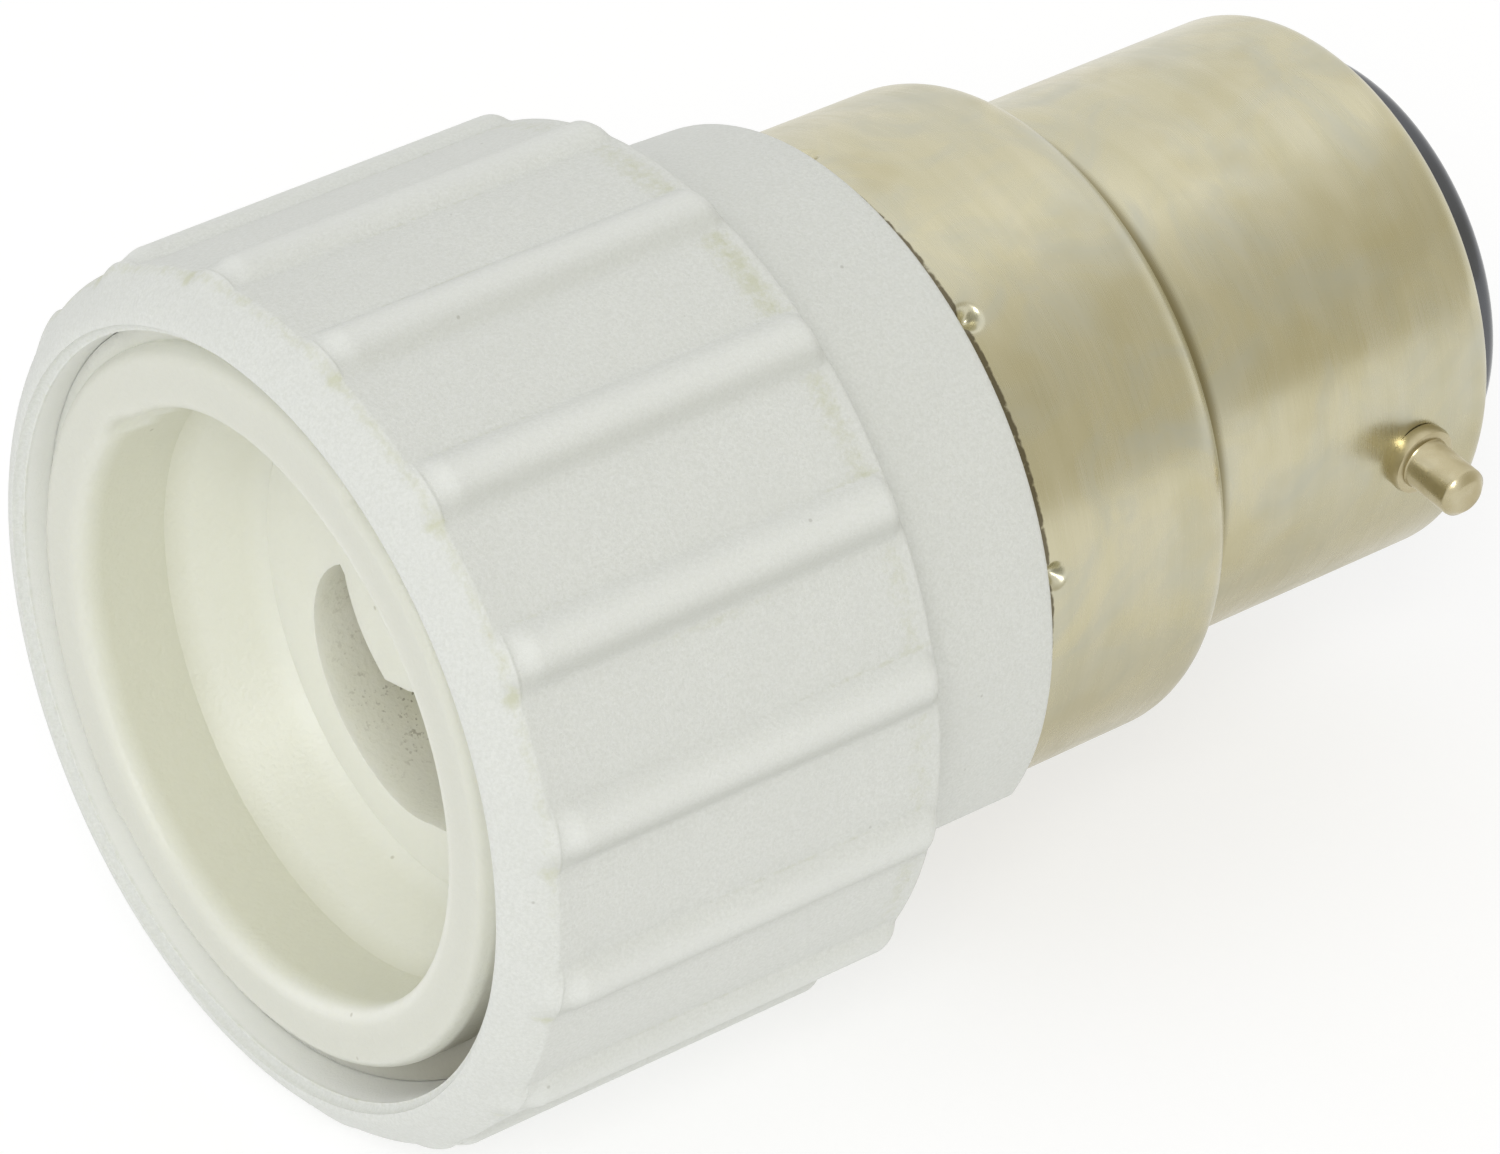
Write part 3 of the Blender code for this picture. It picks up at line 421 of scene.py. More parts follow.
upward = ease((np.sin(housing_angles)[None, :] + 0.3) / 0.8)
in_crease = band(s, 1.30, 0.30) * on_drum * (0.35 + 0.65 * upward)
at_rear = band(s, 17.8, 0.60) * on_drum * between
at_rear = at_rear * (0.50 + 0.50 * band(housing_angles, math.radians(110), math.radians(25)))
along = ease((s - 1.8) / 1.0) * on_drum
upper_foot = band(downhill, -1.25, 0.12) * along
# Painted shade below the foot of each rib and under its nose, on the side that faces the table.
foot_shade = band(downhill, 1.50, 0.28) * band(s, 10.0, 4.5)
foot_shade = foot_shade * band(housing_angles, math.radians(157), math.radians(20))
nose_shade = band(s, 1.25, 0.50) * band(downhill, 1.15, 0.22) * on_drum
at_mouth = band(s, MOUTH_EDGE + 0.03, 0.09) * (base < BORE + 0.15)
# The dust mark carries real dust, and painted shade below the rib feet and under the noses.
dust_and_shade = 0.45 * in_crease + 0.75 * at_rear + 0.42 * upper_foot * drift + 0.50 * foot_shade
dust_and_shade = np.clip(dust_and_shade + 0.50 * nose_shade + 0.40 * at_mouth, 0, 1) + 0.30
# Painted light: the bore is lighter, less so at the mouth.
inside = (base < BORE + 0.01) * (s < 17.7) * (1 - 0.5 * at_mouth)
smear = np.clip(at_rear * drift + 0.7 * in_crease * drift ** 3, 0, 1)

marks = {"crest_highlight": crest_highlight, "flank_shade": flank_shade, "dust_and_shade": dust_and_shade, "smear": smear, "inside": inside}
housing = skin("ribbed_body", s, radius, housing_angles, marks=marks)
housing.data.materials.append(PBT)
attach(housing, "root")
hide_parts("housing")
print("housing faces:", len(housing.data.polygons))

# %% [markdown]
# The socket is steatite, a ceramic pressed from powder, fired and thinly glazed.
# That gives a cream, slightly soft-edged surface with a satin gloss. The entry wall
# of the cup is a darker olive, and the cone a little. Some light goes into the
# ceramic, which keeps its shadows warm. The rim is a touch greyer from fingers, the
# walls of the slots hold dark grit from lamp pins, and the gap below the rim is
# painted dark as painted shade.

# %% Finish: glazed steatite
def glazed_steatite():
    """Cream ceramic with a thin glaze, handled, gritty in the slots, and with painted shade in the gap
    below the rim.
    """
    finish, tree, shader, here = new_finish("glazed_steatite", 0.46, ior=1.6, coat=0.12)
    shader.inputs["Coat Roughness"].default_value = 0.34
    shader.inputs["Subsurface Weight"].default_value = 0.45
    shader.inputs["Subsurface Radius"].default_value = (1.0, 0.97, 0.85)
    shader.inputs["Subsurface Scale"].default_value = 1.2 * MM
    clouds = add_node(tree, "ShaderNodeTexNoise", {"Vector": here, "Scale": per_metre(2.6), "Detail": 4.0})
    dents = add_node(tree, "ShaderNodeTexNoise", {"Vector": here, "Scale": per_metre(1.6), "Detail": 3.0})
    # The powder's grains are about 0.05 mm, drawn at 0.20 mm so that they show.
    grains = add_node(tree, "ShaderNodeTexNoise", {"Vector": here, "Scale": per_metre(0.20), "Detail": 2.0})
    # Brown specks of 0.1 mm come from the kiln, one in every cell of 2.2 mm.
    cells = add_node(tree, "ShaderNodeTexVoronoi", {"Vector": here, "Scale": per_metre(2.2)})
    # The grit in the slots lies in small heaps, and only there.
    heaps = add_node(tree, "ShaderNodeTexNoise", {"Vector": here, "Scale": per_metre(1.1), "Detail": 3.0,
                                                  "Roughness": 0.7})
    in_heaps = add_node(tree, "ShaderNodeMapRange", {"Value": heaps.outputs["Fac"], "From Min": 0.44,
                                                     "From Max": 0.56})
    worn = carried(tree, ("darker_in_cup", "handled", "grit", "gap_shade"))
    there = add_node(tree, "ShaderNodeMath", {0: worn["grit"], 1: in_heaps.outputs[0]},
                     operation="MULTIPLY")
    crumbs = add_node(tree, "ShaderNodeMapRange", {"Value": grains.outputs["Fac"], "From Min": 0.58,
                                                   "From Max": 0.64, "To Max": there.outputs[0]})
    painted(tree, shader, "#E9EADF", [
        (clouds.outputs["Fac"], 0.0, 1.0, 1.0, "#EFF0E7"),
        # Darker on the entry wall of the cup, and a little over the cone.
        (worn["darker_in_cup"], 0.0, 1.0, 0.75, "#D8D8C4"),
        (worn["handled"], 0.0, 1.0, 0.90, "#D5D6CA"),
        (cells.outputs["Distance"], 0.050, 0.025, 0.45, "#A39E88"),
        (worn["grit"], 0.0, 1.0, 0.45, "#D6D6B8"),
        (crumbs.outputs[0], 0.0, 1.0, 0.85, "#7A7359"),
        # Painted shade in the gap below the rim.
        (worn["gap_shade"], 0.0, 1.0, 0.80, "#938F7C"),
    ])
    embossed(tree, shader, [(dents.outputs["Fac"], 0.7, 0.09), (grains.outputs["Fac"], 0.9, 0.03)])
    return finish


STEATITE = glazed_steatite()
print("finish made:", STEATITE.name)

# %% [markdown]
# The socket body has a rim that fills the mouth, a short straight entry, a cone
# and a flat seat with two keyhole tracks. The rim is narrower on most of the way
# round, and a shallow notch is pressed in the entry. The rim and the notch are
# again a radius that changes with the angle; the keyholes are cut by a Boolean,
# whose edges a Bevel then rounds as glaze does.

# %% Socket insert: the turned body
RIM_FACE, RIM_TOP = 0.50, 14.20
RIM_SHOULDER, RIM_NARROW = 0.70, 13.80
RIM_FIXED = 13.10
CUP, CUP_EDGE = 11.80, 0.50
ENTRY_END = 4.45
SEAT, FLOOR = 10.05, 7.95
CHAMBER = 10.95
FLANGE_FROM, FLANGE_TO, FLANGE = 1.45, 4.35, 14.92
BODY, BACK = 14.50, 14.75

insert_rows = [
    line((FLOOR, SEAT), (ENTRY_END, CUP - 0.05), 4),
    line((ENTRY_END, CUP - 0.05), (RIM_FACE + CUP_EDGE, CUP), 5),
]
cup_rows = (len(insert_rows[0]), len(insert_rows[0]) + len(insert_rows[1]))
insert_rows += [
    round_corner((RIM_FACE + CUP_EDGE, CUP), (RIM_FACE, CUP + CUP_EDGE), 8, True),
    line((RIM_FACE, CUP + CUP_EDGE), (RIM_FACE, RIM_FIXED), 2),
]
rim_start = sum(len(part) for part in insert_rows)
insert_rows += [
    line((RIM_FACE, RIM_FIXED), (RIM_FACE, RIM_TOP - RIM_SHOULDER), 3),
    round_corner((RIM_FACE, RIM_TOP - RIM_SHOULDER), (RIM_FACE + RIM_SHOULDER, RIM_TOP), 9, False),
    line((RIM_FACE + RIM_SHOULDER, RIM_TOP), (FLANGE_FROM, RIM_TOP), 1),
    np.array([(FLANGE_FROM, RIM_TOP)]),
]
rim_end = sum(len(part) for part in insert_rows)
insert_rows += [np.array([(FLANGE_FROM, FLANGE), (FLANGE_TO, FLANGE), (FLANGE_TO + 0.01, BODY),
                          (BACK, BODY), (BACK, 5.0), (BACK, 0.0), (FLOOR, 0.0), (FLOOR, 4.0)])]
insert_profile = np.concatenate(insert_rows)
print("profile points of the insert:", len(insert_profile))

# %% Socket insert: what pressing and firing did to the rim
WIDE_FROM, WIDE_TO = math.radians(-47), math.radians(116)
NOTCH_FROM, NOTCH_TO = math.radians(35), math.radians(51)
NOTCH_DEPTH = 0.24
SAG, SAG_AT = 0.38, math.radians(185)
GAP, GAP_AT = 1.3, math.radians(226)

insert_angles = np.arange(288) / 288 * TAU
turn = (insert_angles - WIDE_FROM) % TAU
soft = math.radians(3.0)
wide = ease(turn / soft) * ease((WIDE_TO - WIDE_FROM - turn) / soft)
notch = ease((insert_angles - NOTCH_FROM) / math.radians(5))
notch = notch * ease((NOTCH_TO - insert_angles) / math.radians(9))
# The bead sags inwards on the side that lay low in the kiln.
sag = SAG * ease((np.cos(insert_angles - SAG_AT) + 0.45) / 0.9)
r = np.repeat(insert_profile[:, 1:2], len(insert_angles), axis=1)
index = np.arange(len(r))[:, None]
on_rim = (index >= rim_start) & (index < rim_end)
shrink = (r - RIM_FIXED) / (RIM_TOP - RIM_FIXED) * (RIM_TOP - RIM_NARROW)
r = np.where(on_rim, r - shrink * (1 - wide)[None, :], r)
in_entry = (index >= cup_rows[0]) & (index <= rim_start)
near_face = ease((ENTRY_END - insert_profile[:, 0:1]) / (ENTRY_END - RIM_FACE - CUP_EDGE))
inner_bead = in_entry * near_face * ease((RIM_FIXED - r) / 1.2)
r = r + NOTCH_DEPTH * notch[None, :] * inner_bead - sag[None, :] * inner_bead
# Below the mouth the flange is pressed deeper, which leaves a dark gap at the rim.
deeper = GAP * band(insert_angles, GAP_AT, math.radians(30))
along_axis = np.repeat(insert_profile[:, 0:1], len(insert_angles), axis=1)
flange_face = (index >= rim_end - 1) & (index < rim_end + 1)
along_axis = along_axis + np.where(flange_face, deeper[None, :], 0)
insert = skin("socket_insert", along_axis, r, insert_angles, sharp_degrees=20)
print("insert faces before the tracks are cut:", len(insert.data.polygons))

# %% Socket insert: outline of a keyhole
PIN_CIRCLE = 5.0
ENTRY_HOLE = 2.80
ENTRY_AT, LOCK_AT = math.radians(-92), math.radians(7)
WIDEST_AT, TAB_AT = math.radians(-70), math.radians(-47)
TRACK_OUT, LOCK_OUT = 8.30, 5.70
TRACK_IN, LOCK_IN = 3.80, 5.05
OUTER_STEPS, TAB_STEPS, HOLE_STEPS = 27, 13, 20


def flat_point(angle, r):
    """A point of the (y, z) plane in millimetres."""
    return Vector((math.cos(angle) * r, math.sin(angle) * r))


def keyhole(turned_by):
    """Outline of one keyhole: its outer wall, the lock, the tab, the entry hole."""
    points = []
    for i in range(OUTER_STEPS + 1):
        angle = ENTRY_AT + (LOCK_AT - ENTRY_AT) * i / OUTER_STEPS
        if angle < WIDEST_AT:
            share = ((WIDEST_AT - angle) / (WIDEST_AT - ENTRY_AT)) ** 2
            dip = (PIN_CIRCLE + ENTRY_HOLE - TRACK_OUT) * share
        else:
            dip = (LOCK_OUT - TRACK_OUT) * ((angle - WIDEST_AT) / (LOCK_AT - WIDEST_AT)) ** 3
        points.append(flat_point(angle, TRACK_OUT + dip))
    points.append(flat_point(LOCK_AT + math.radians(3), (LOCK_OUT + LOCK_IN) / 2))
    for i in range(TAB_STEPS + 1):
        angle = LOCK_AT + (TAB_AT - LOCK_AT) * i / TAB_STEPS
        lift = (LOCK_IN - TRACK_IN) * (1 - i / TAB_STEPS) ** 1.5
        points.append(flat_point(angle, TRACK_IN + lift))
    centre = flat_point(ENTRY_AT, PIN_CIRCLE)
    for i in range(HOLE_STEPS):
        points.append(centre + flat_point(ENTRY_AT + math.radians(155 + 10 * i), ENTRY_HOLE))
    turn = Matrix.Rotation(turned_by, 2)
    return [turn @ p for p in points]


print("points of a keyhole's outline:", len(keyhole(0.0)))

# %% Socket insert: tracks and contact chambers, cut and glazed
CHAMBER_FROM, CHAMBER_TO = math.radians(-122), math.radians(17)
CHAMBER_OUT, CHAMBER_IN = 7.60, 2.35
CUT_IN_FRONT, CUT_BEHIND = 1.5, 0.5
GLAZED_EDGE = 0.22


def bar(name, outline, s_from, s_to):
    """An outline in the (y, z) plane drawn out along the axis."""
    bm = bmesh.new()
    low = [bm.verts.new((FRONT + s_from * MM, p.x * MM, AXIS_Z + p.y * MM)) for p in outline]
    high = [bm.verts.new((FRONT + s_to * MM, p.x * MM, AXIS_Z + p.y * MM)) for p in outline]
    bm.faces.new(low)
    bm.faces.new(high)
    for i in range(len(outline)):
        k = (i + 1) % len(outline)
        bm.faces.new((low[i], low[k], high[k], high[i]))
    bmesh.ops.recalc_face_normals(bm, faces=bm.faces)
    mesh = bpy.data.meshes.new(name)
    bm.to_mesh(mesh)
    bm.free()
    return new_object(name, mesh)


def applied(piece):
    """Keeps the result of the piece's modifiers as its mesh."""
    graph = bpy.context.evaluated_depsgraph_get()
    result = bpy.data.meshes.new_from_object(piece.evaluated_get(graph))
    piece.modifiers.clear()
    piece.data = result


cutters = []
for k in range(2):
    slot_from, slot_to = FLOOR - CUT_IN_FRONT, CHAMBER + CUT_BEHIND
    cutters.append(bar(f"keyhole_{k + 1}", keyhole(math.pi * k), slot_from, slot_to))
    low, high = CHAMBER_FROM + math.pi * k, CHAMBER_TO + math.pi * k
    chamber = [flat_point(low + (high - low) * i / 16, CHAMBER_OUT) for i in range(17)]
    chamber += [flat_point(high + (low - high) * i / 16, CHAMBER_IN) for i in range(17)]
    cutters.append(bar(f"chamber_{k + 1}", chamber, CHAMBER, BACK + 2 * CUT_BEHIND))
bpy.context.view_layer.update()
for cutter in cutters:
    cut = insert.modifiers.new("Cut", "BOOLEAN")
    cut.operation = "DIFFERENCE"
    cut.solver = "EXACT"
    cut.object = cutter
applied(insert)
for cutter in cutters:
    bpy.data.objects.remove(cutter, do_unlink=True)
soften = insert.modifiers.new("Glaze", "BEVEL")
soften.width = GLAZED_EDGE * MM
soften.segments = 5
soften.limit_method = "ANGLE"
soften.angle_limit = math.radians(50)
applied(insert)
insert.data.shade_smooth()
insert.data.set_sharp_from_angle(angle=math.radians(20))
print("insert faces:", len(insert.data.polygons))

# %% Socket insert: marks for the darker cup, fingers, grit and painted shade, and the finished piece
GRIT_Y, GRIT_Z = 5.2, -5.6

spots = np.array([v.co[:] for v in insert.data.vertices])
depth = (spots[:, 0] - FRONT) / MM
off_axis = np.hypot(spots[:, 1], spots[:, 2] - AXIS_Z) / MM
in_slot = (depth > FLOOR + 0.05) & (off_axis < 9.0)
from_corner = np.hypot(spots[:, 1] / MM - GRIT_Y, (spots[:, 2] - AXIS_Z) / MM - GRIT_Z)
grit = in_slot * (0.35 + 0.65 * band(from_corner, 0, 2.6))
# Darker on the entry wall of the cup, and a little over the cone.
darker_in_cup = ease((off_axis - 11.0) / 0.4) * (off_axis < 11.85)
darker_in_cup = darker_in_cup * ease((depth - 0.9) / 0.6) * (depth < ENTRY_END + 0.1)
on_cone = (depth > ENTRY_END + 0.1) & (depth < FLOOR - 0.05) & (off_axis > 10.0)
darker_in_cup = darker_in_cup + 0.40 * on_cone
handled = ease((off_axis - 11.4) / 0.8) * ease((1.2 - depth) / 0.5)
around = np.arctan2(spots[:, 2] - AXIS_Z, spots[:, 1]) % TAU
# Painted shade in the gap below the rim, on the side where the flange lies deeper.
gap_shade = band(around, GAP_AT, math.radians(34)) * ease((depth - 0.9) / 0.4) * (off_axis > 13.0)
write_marks(insert.data, {"grit": grit, "darker_in_cup": darker_in_cup, "handled": handled, "gap_shade": gap_shade})
insert.data.materials.clear()
insert.data.materials.append(STEATITE)
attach(insert, "root")
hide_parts("socket_body")
print("points of the insert with grit:", int((grit > 0.5).sum()))

# %% [markdown]
# The cap is drawn from brass sheet, turned against emery cloth while it spins and
# then nickel plated very thinly, so yellow still comes through. The emery leaves
# lines round the axis, the pull of the drawing press leaves faint bands, and damp
# leaves broad blue-grey stains and a few that dried brown.

# %% Finish: thinly nickel-plated brass, brushed round the axis
def rings(tree, here, apart_mm, length_mm, detail):
    """Noise drawn out round the axis: narrow along X, long across it."""
    scale = (per_metre(apart_mm), per_metre(length_mm), per_metre(length_mm))
    drawn = add_node(tree, "ShaderNodeMapping", {"Vector": here, "Scale": scale})
    feeds = {"Vector": drawn.outputs[0], "Scale": 1.0, "Detail": detail}
    return add_node(tree, "ShaderNodeTexNoise", feeds).outputs["Fac"]


def plated_brass():
    """Brushed metal with stains, painted glints, and painted shade below, at the root of the step and
    behind the neck.
    """
    finish, tree, shader, here = new_finish("nickel_plated_brass_brushed", 0.26, metallic=1.0)
    shader.inputs["Anisotropic"].default_value = 0.3
    # Emery lines are about 0.03 mm apart, drawn at 0.09 mm so that they show.
    lines = rings(tree, here, 0.09, 3.0, 4.0)
    bands = rings(tree, here, 1.2, 9.0, 3.0)
    damp = add_node(tree, "ShaderNodeTexNoise", {"Vector": here, "Scale": per_metre(4.5), "Detail": 5.0,
                                                 "Roughness": 0.58, "Distortion": 1.2})
    drops = add_node(tree, "ShaderNodeTexNoise", {"Vector": here, "Scale": per_metre(7.0), "Detail": 3.0,
                                                  "Roughness": 0.6})
    # Painted glints: bright pinpoints of about 0.06 mm, one in every half millimetre.
    cells = add_node(tree, "ShaderNodeTexVoronoi", {"Vector": here, "Scale": per_metre(0.50)})
    crumbs = add_node(tree, "ShaderNodeTexNoise", {"Vector": here, "Scale": per_metre(0.35), "Detail": 3.0})
    worn = carried(tree, ("tarnish_and_shade", "root", "crevice_shade"))
    crevice_shade = add_node(tree, "ShaderNodeMath", {0: worn["crevice_shade"], 1: crumbs.outputs["Fac"]},
                    operation="MULTIPLY")
    painted(tree, shader, "#C7C1A2", [
        (bands, 0.3, 0.7, 1.0, "#CEC8AC"),
        (damp.outputs["Fac"], 0.40, 0.74, 0.50, "#B4B8B2"),
        (drops.outputs["Fac"], 0.50, 0.62, 0.45, "#BDB48E"),
        # Painted shade on the side that faces the table.
        (worn["tarnish_and_shade"], 0.0, 1.0, 0.60, "#A69D78"),
        # Painted shade at the root of the step.
        (worn["root"], 0.0, 1.0, 0.90, "#7F7552"),
        # Painted glints.
        (cells.outputs["Distance"], 0.09, 0.04, 0.20, "#E4DFC8"),
        # Painted shade in the gap behind the neck.
        (crevice_shade.outputs[0], 0.22, 0.40, 0.85, "#544B38"),
    ])
    # Brushing and damp both dull the metal.
    stain = add_node(tree, "ShaderNodeMapRange", {"Value": damp.outputs["Fac"], "From Min": 0.40,
                                                  "From Max": 0.74, "To Max": 0.50})
    matt = add_node(tree, "ShaderNodeMath", {0: lines, 1: stain.outputs[0]}, operation="ADD")
    dull = add_node(tree, "ShaderNodeMapRange", {"Value": matt.outputs[0], "From Min": 0.3, "From Max": 1.0,
                                                 "To Min": 0.20, "To Max": 0.36})
    tree.links.new(dull.outputs[0], shader.inputs["Roughness"])
    embossed(tree, shader, [(lines, 0.16, 0.005), (bands, 0.20, 0.03)])
    return finish


PLATED = plated_brass()
print("finish made:", PLATED.name)

# %% [markdown]
# A cap like this is one sheet of 0.22 mm: a skirt, a drawn shoulder, the 22 mm
# shell and a rolled end. Eight dimples punched near the edge of the skirt hold it
# on the body. The punch leaves a cone with a soft edge, which a Boolean would cut
# too sharply, so the dimples are part of the radius, on a grid that is fine there.

# %% Cap shell
SHEET = 0.22
SKIRT, SHELL = 13.15, 11.00
SKIRT_FROM, STEP = 26.50, 36.25
SHELL_END, SHELL_MOUTH = 50.95, 9.55
SHOULDER, FILLET, ROLL = 1.70, 0.45, 1.05
SKIRT_STRAIGHT, SKIRT_TAPER = 28.20, 0.04
DIMPLES, DIMPLE_PHASE, DIMPLE_AT = 8, math.radians(125.5), 27.30
DIMPLE_RADIUS, DIMPLE_DEPTH = 0.66, 0.55
LIP_AT, LIP_WIDE, LIP_HIGH = 0.85, 0.15, 0.05

cap_rows = [
    line((SKIRT_FROM, SKIRT), (SKIRT_STRAIGHT, SKIRT), 20),
    line((SKIRT_STRAIGHT, SKIRT), (STEP - SHOULDER, SKIRT - SKIRT_TAPER), 8),
    round_corner((STEP - SHOULDER, SKIRT - SKIRT_TAPER), (STEP, SHELL + FILLET), 14, True),
    round_corner((STEP, SHELL + FILLET), (STEP + FILLET, SHELL), 8, False),
    line((STEP + FILLET, SHELL), (STEP + 2.0, SHELL), 10),
    line((STEP + 2.0, SHELL), (SHELL_END - ROLL, SHELL), 12),
    round_corner((SHELL_END - ROLL, SHELL), (SHELL_END, SHELL - ROLL), 8, True),
    line((SHELL_END, SHELL - ROLL), (SHELL_END, SHELL_MOUTH), 3),
]
cap_rows += [
    [(SHELL_END, SHELL_MOUTH), (SHELL_END - SHEET, SHELL_MOUTH), (SHELL_END - SHEET, SHELL - ROLL),
     (SHELL_END - ROLL, SHELL - SHEET), (STEP + FILLET, SHELL - SHEET), (STEP - SHEET, SHELL + FILLET),
     (STEP - SHOULDER, SKIRT - SKIRT_TAPER - SHEET)],
    line((SKIRT_STRAIGHT, SKIRT - SHEET), (SKIRT_FROM, SKIRT - SHEET), 20),
    [(SKIRT_FROM, SKIRT - SHEET)],
]
cap_profile = np.concatenate(cap_rows)
print("profile points of the cap:", len(cap_profile))

# %% Cap shell: dimples, marks for painted shade, and the finished piece
dimple_zone = np.linspace(-0.10, 0.10, 25)
plain_zone = np.linspace(0.10, 0.90, 38)[1:-1]
cap_columns = np.concatenate([np.concatenate([dimple_zone, plain_zone]) + k for k in range(DIMPLES)])
cap_angles = DIMPLE_PHASE + cap_columns * TAU / DIMPLES
off = ((cap_columns + 0.5) % 1.0 - 0.5) * TAU / DIMPLES * SKIRT
far = np.hypot(off[None, :], cap_profile[:, 0:1] - DIMPLE_AT)
on_skirt = cap_profile[:, 0:1] < SKIRT_STRAIGHT + 0.10
# The lip only pulls in the foot of the cone: nothing stands proud of the sheet.
cone = DIMPLE_DEPTH * (1 - ease(far / DIMPLE_RADIUS)) - LIP_HIGH * band(far, LIP_AT, LIP_WIDE)
cap_r = np.repeat(cap_profile[:, 1:2], len(cap_angles), axis=1)
cap_r = cap_r - np.where(on_skirt, np.maximum(cone, 0), 0)
# Painted shade: the metal is darker in the gap behind the neck, in a band at the root of
# the step, and on the side that faces the table.
crevice_shade = ease((27.24 - cap_profile[:, 0:1]) / 0.26) * np.ones_like(cap_r)
past_step = cap_profile[:, 0:1] - STEP
# Painted shade in a band at the root of the step.
root = ease((1.25 - past_step) / 0.50) * (past_step > 0.0) * np.ones_like(cap_r)
# Painted shade on the side that faces the table.
tarnish_and_shade = ease(-np.sin(cap_angles)[None, :] / 0.7 + 0.2) * np.ones_like(cap_r)
cap_marks = {"crevice_shade": crevice_shade, "root": root, "tarnish_and_shade": tarnish_and_shade}
cap = skin("drawn_cap", cap_profile[:, 0:1], cap_r, cap_angles, True, 50, cap_marks)
cap.data.materials.append(PLATED)
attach(cap, "root")
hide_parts("cap_shell")
print("cap faces:", len(cap.data.polygons))

# %% [markdown]
# The small metal pieces are bare: brass for pins, rivets, terminals and contacts,
# phosphor bronze for the springs. Turned brass is a greenish yellow with fine tool
# marks; it darkens unevenly. Rolled bronze is redder with long marks.

# %% Finishes: turned brass, rolled bronze, tin solder
def bare_metal(name, light, dark, roughness, mark_mm):
    """Metal without a plating, which tarnishes unevenly and shows how it was worked."""
    finish, tree, shader, here = new_finish(name, roughness, metallic=1.0)
    tarnish_and_shade = add_node(tree, "ShaderNodeTexNoise", {"Vector": here, "Scale": per_metre(1.1), "Detail": 5.0})
    worked = add_node(tree, "ShaderNodeTexNoise", {"Vector": here, "Scale": per_metre(mark_mm),
                                                   "Detail": 3.0})
    painted(tree, shader, dark, [(tarnish_and_shade.outputs["Fac"], 0.0, 1.0, 1.0, light)])
    dull = add_node(tree, "ShaderNodeMapRange",
                    {"Value": tarnish_and_shade.outputs["Fac"], "From Min": 0.3, "From Max": 0.7,
                     "To Min": roughness + 0.12, "To Max": roughness - 0.06})
    tree.links.new(dull.outputs[0], shader.inputs["Roughness"])
    embossed(tree, shader, [(worked.outputs["Fac"], 0.3, 0.01)])
    return finish


# Tool and roll marks are about 0.05 mm wide and drawn three times as coarse or more.
BRASS = bare_metal("turned_brass", "#CFC8AC", "#A6976C", 0.26, 0.15)
BRONZE = bare_metal("rolled_phosphor_bronze", "#C99A6B", "#A97A4E", 0.30, 0.20)
SOLDER = bare_metal("tin_solder", "#C9CBCC", "#9FA2A5", 0.34, 0.40)
print("finishes made:", BRASS.name, BRONZE.name, SOLDER.name)

# %% [markdown]
# Two bayonet pins are riveted through the shell. Each is turned brass: a shank, a
# bevelled round tip, and at its root the ring that swaging pushes up. A pin is
# turned about its own radial line, so it is drawn upright and then laid over.

# %% Bayonet pins
PIN_AT, PIN_ANGLE = 46.95, math.radians(187)
PIN, PIN_TIP = 1.03, 14.05


def spun(name, profile, columns=64):
    """A small turned piece about its own line: pairs of height and radius."""
    profile = np.asarray(profile, float)
    angles = np.arange(columns) / columns * TAU
    height, radius = profile[:, 0:1], profile[:, 1:2]
    points = np.stack([radius * np.cos(angles) * MM, radius * np.sin(angles) * MM,
                       np.repeat(height, columns, axis=1) * MM], axis=-1).reshape(-1, 3)
    return finish_mesh(name, points, grid_faces(len(profile), columns, False), 40)


def stand(piece, s, angle, r, lean):
    """Moves a spun piece to its place; lean turns its line off the main axis."""
    to_axis = Matrix.Rotation(math.pi / 2, 4, "Y")
    about = Matrix.Rotation(angle, 4, "X")
    out = Matrix.Rotation(lean, 4, "Z")
    piece.data.transform(Matrix.Translation(place(s, r, angle)) @ about @ out @ to_axis)


PIN_HEAD, PIN_HEAD_FROM, PIN_HEAD_TO = 1.7, 8.9, 9.5
RING_LOW, RING_HIGH, RING = SHELL - 0.05, SHELL + 0.58, 1.45
pin_profile = [(PIN_HEAD_FROM, 0.0), (PIN_HEAD_FROM, PIN_HEAD), (PIN_HEAD_TO, PIN_HEAD), (PIN_HEAD_TO, PIN)]
pin_profile += [(SHELL - 0.10, PIN), (RING_LOW, RING - 0.03), (SHELL + 0.28, RING),
                (SHELL + 0.50, RING - 0.07), (RING_HIGH, 1.22), (SHELL + 0.55, 1.08), (SHELL + 0.62, PIN)]
pin_profile += [(PIN_TIP - 0.42, PIN), (PIN_TIP - 0.30, PIN - 0.03), (PIN_TIP - 0.06, 0.72),
                (PIN_TIP, 0.60), (PIN_TIP, 0.30), (PIN_TIP, 0.0)]
for k in range(2):
    pin = spun(f"turned_pin_{k + 1}", pin_profile)
    stand(pin, PIN_AT, PIN_ANGLE + math.pi * k, 0.0, math.pi / 2)
    pin.data.materials.append(BRASS)
    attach(pin, "root")
    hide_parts(f"bayonet_pin_{k + 1}")
    print("pin made:", pin.name, len(pin.data.polygons), "faces")

# %% [markdown]
# The end of the cap is closed by a moulding of dark phenolic resin. It comes from
# a polished tool, so it is nearly black with a clean gloss, and its flow shows as
# faint clouds. It is turned in one go, since nothing on it breaks the round.

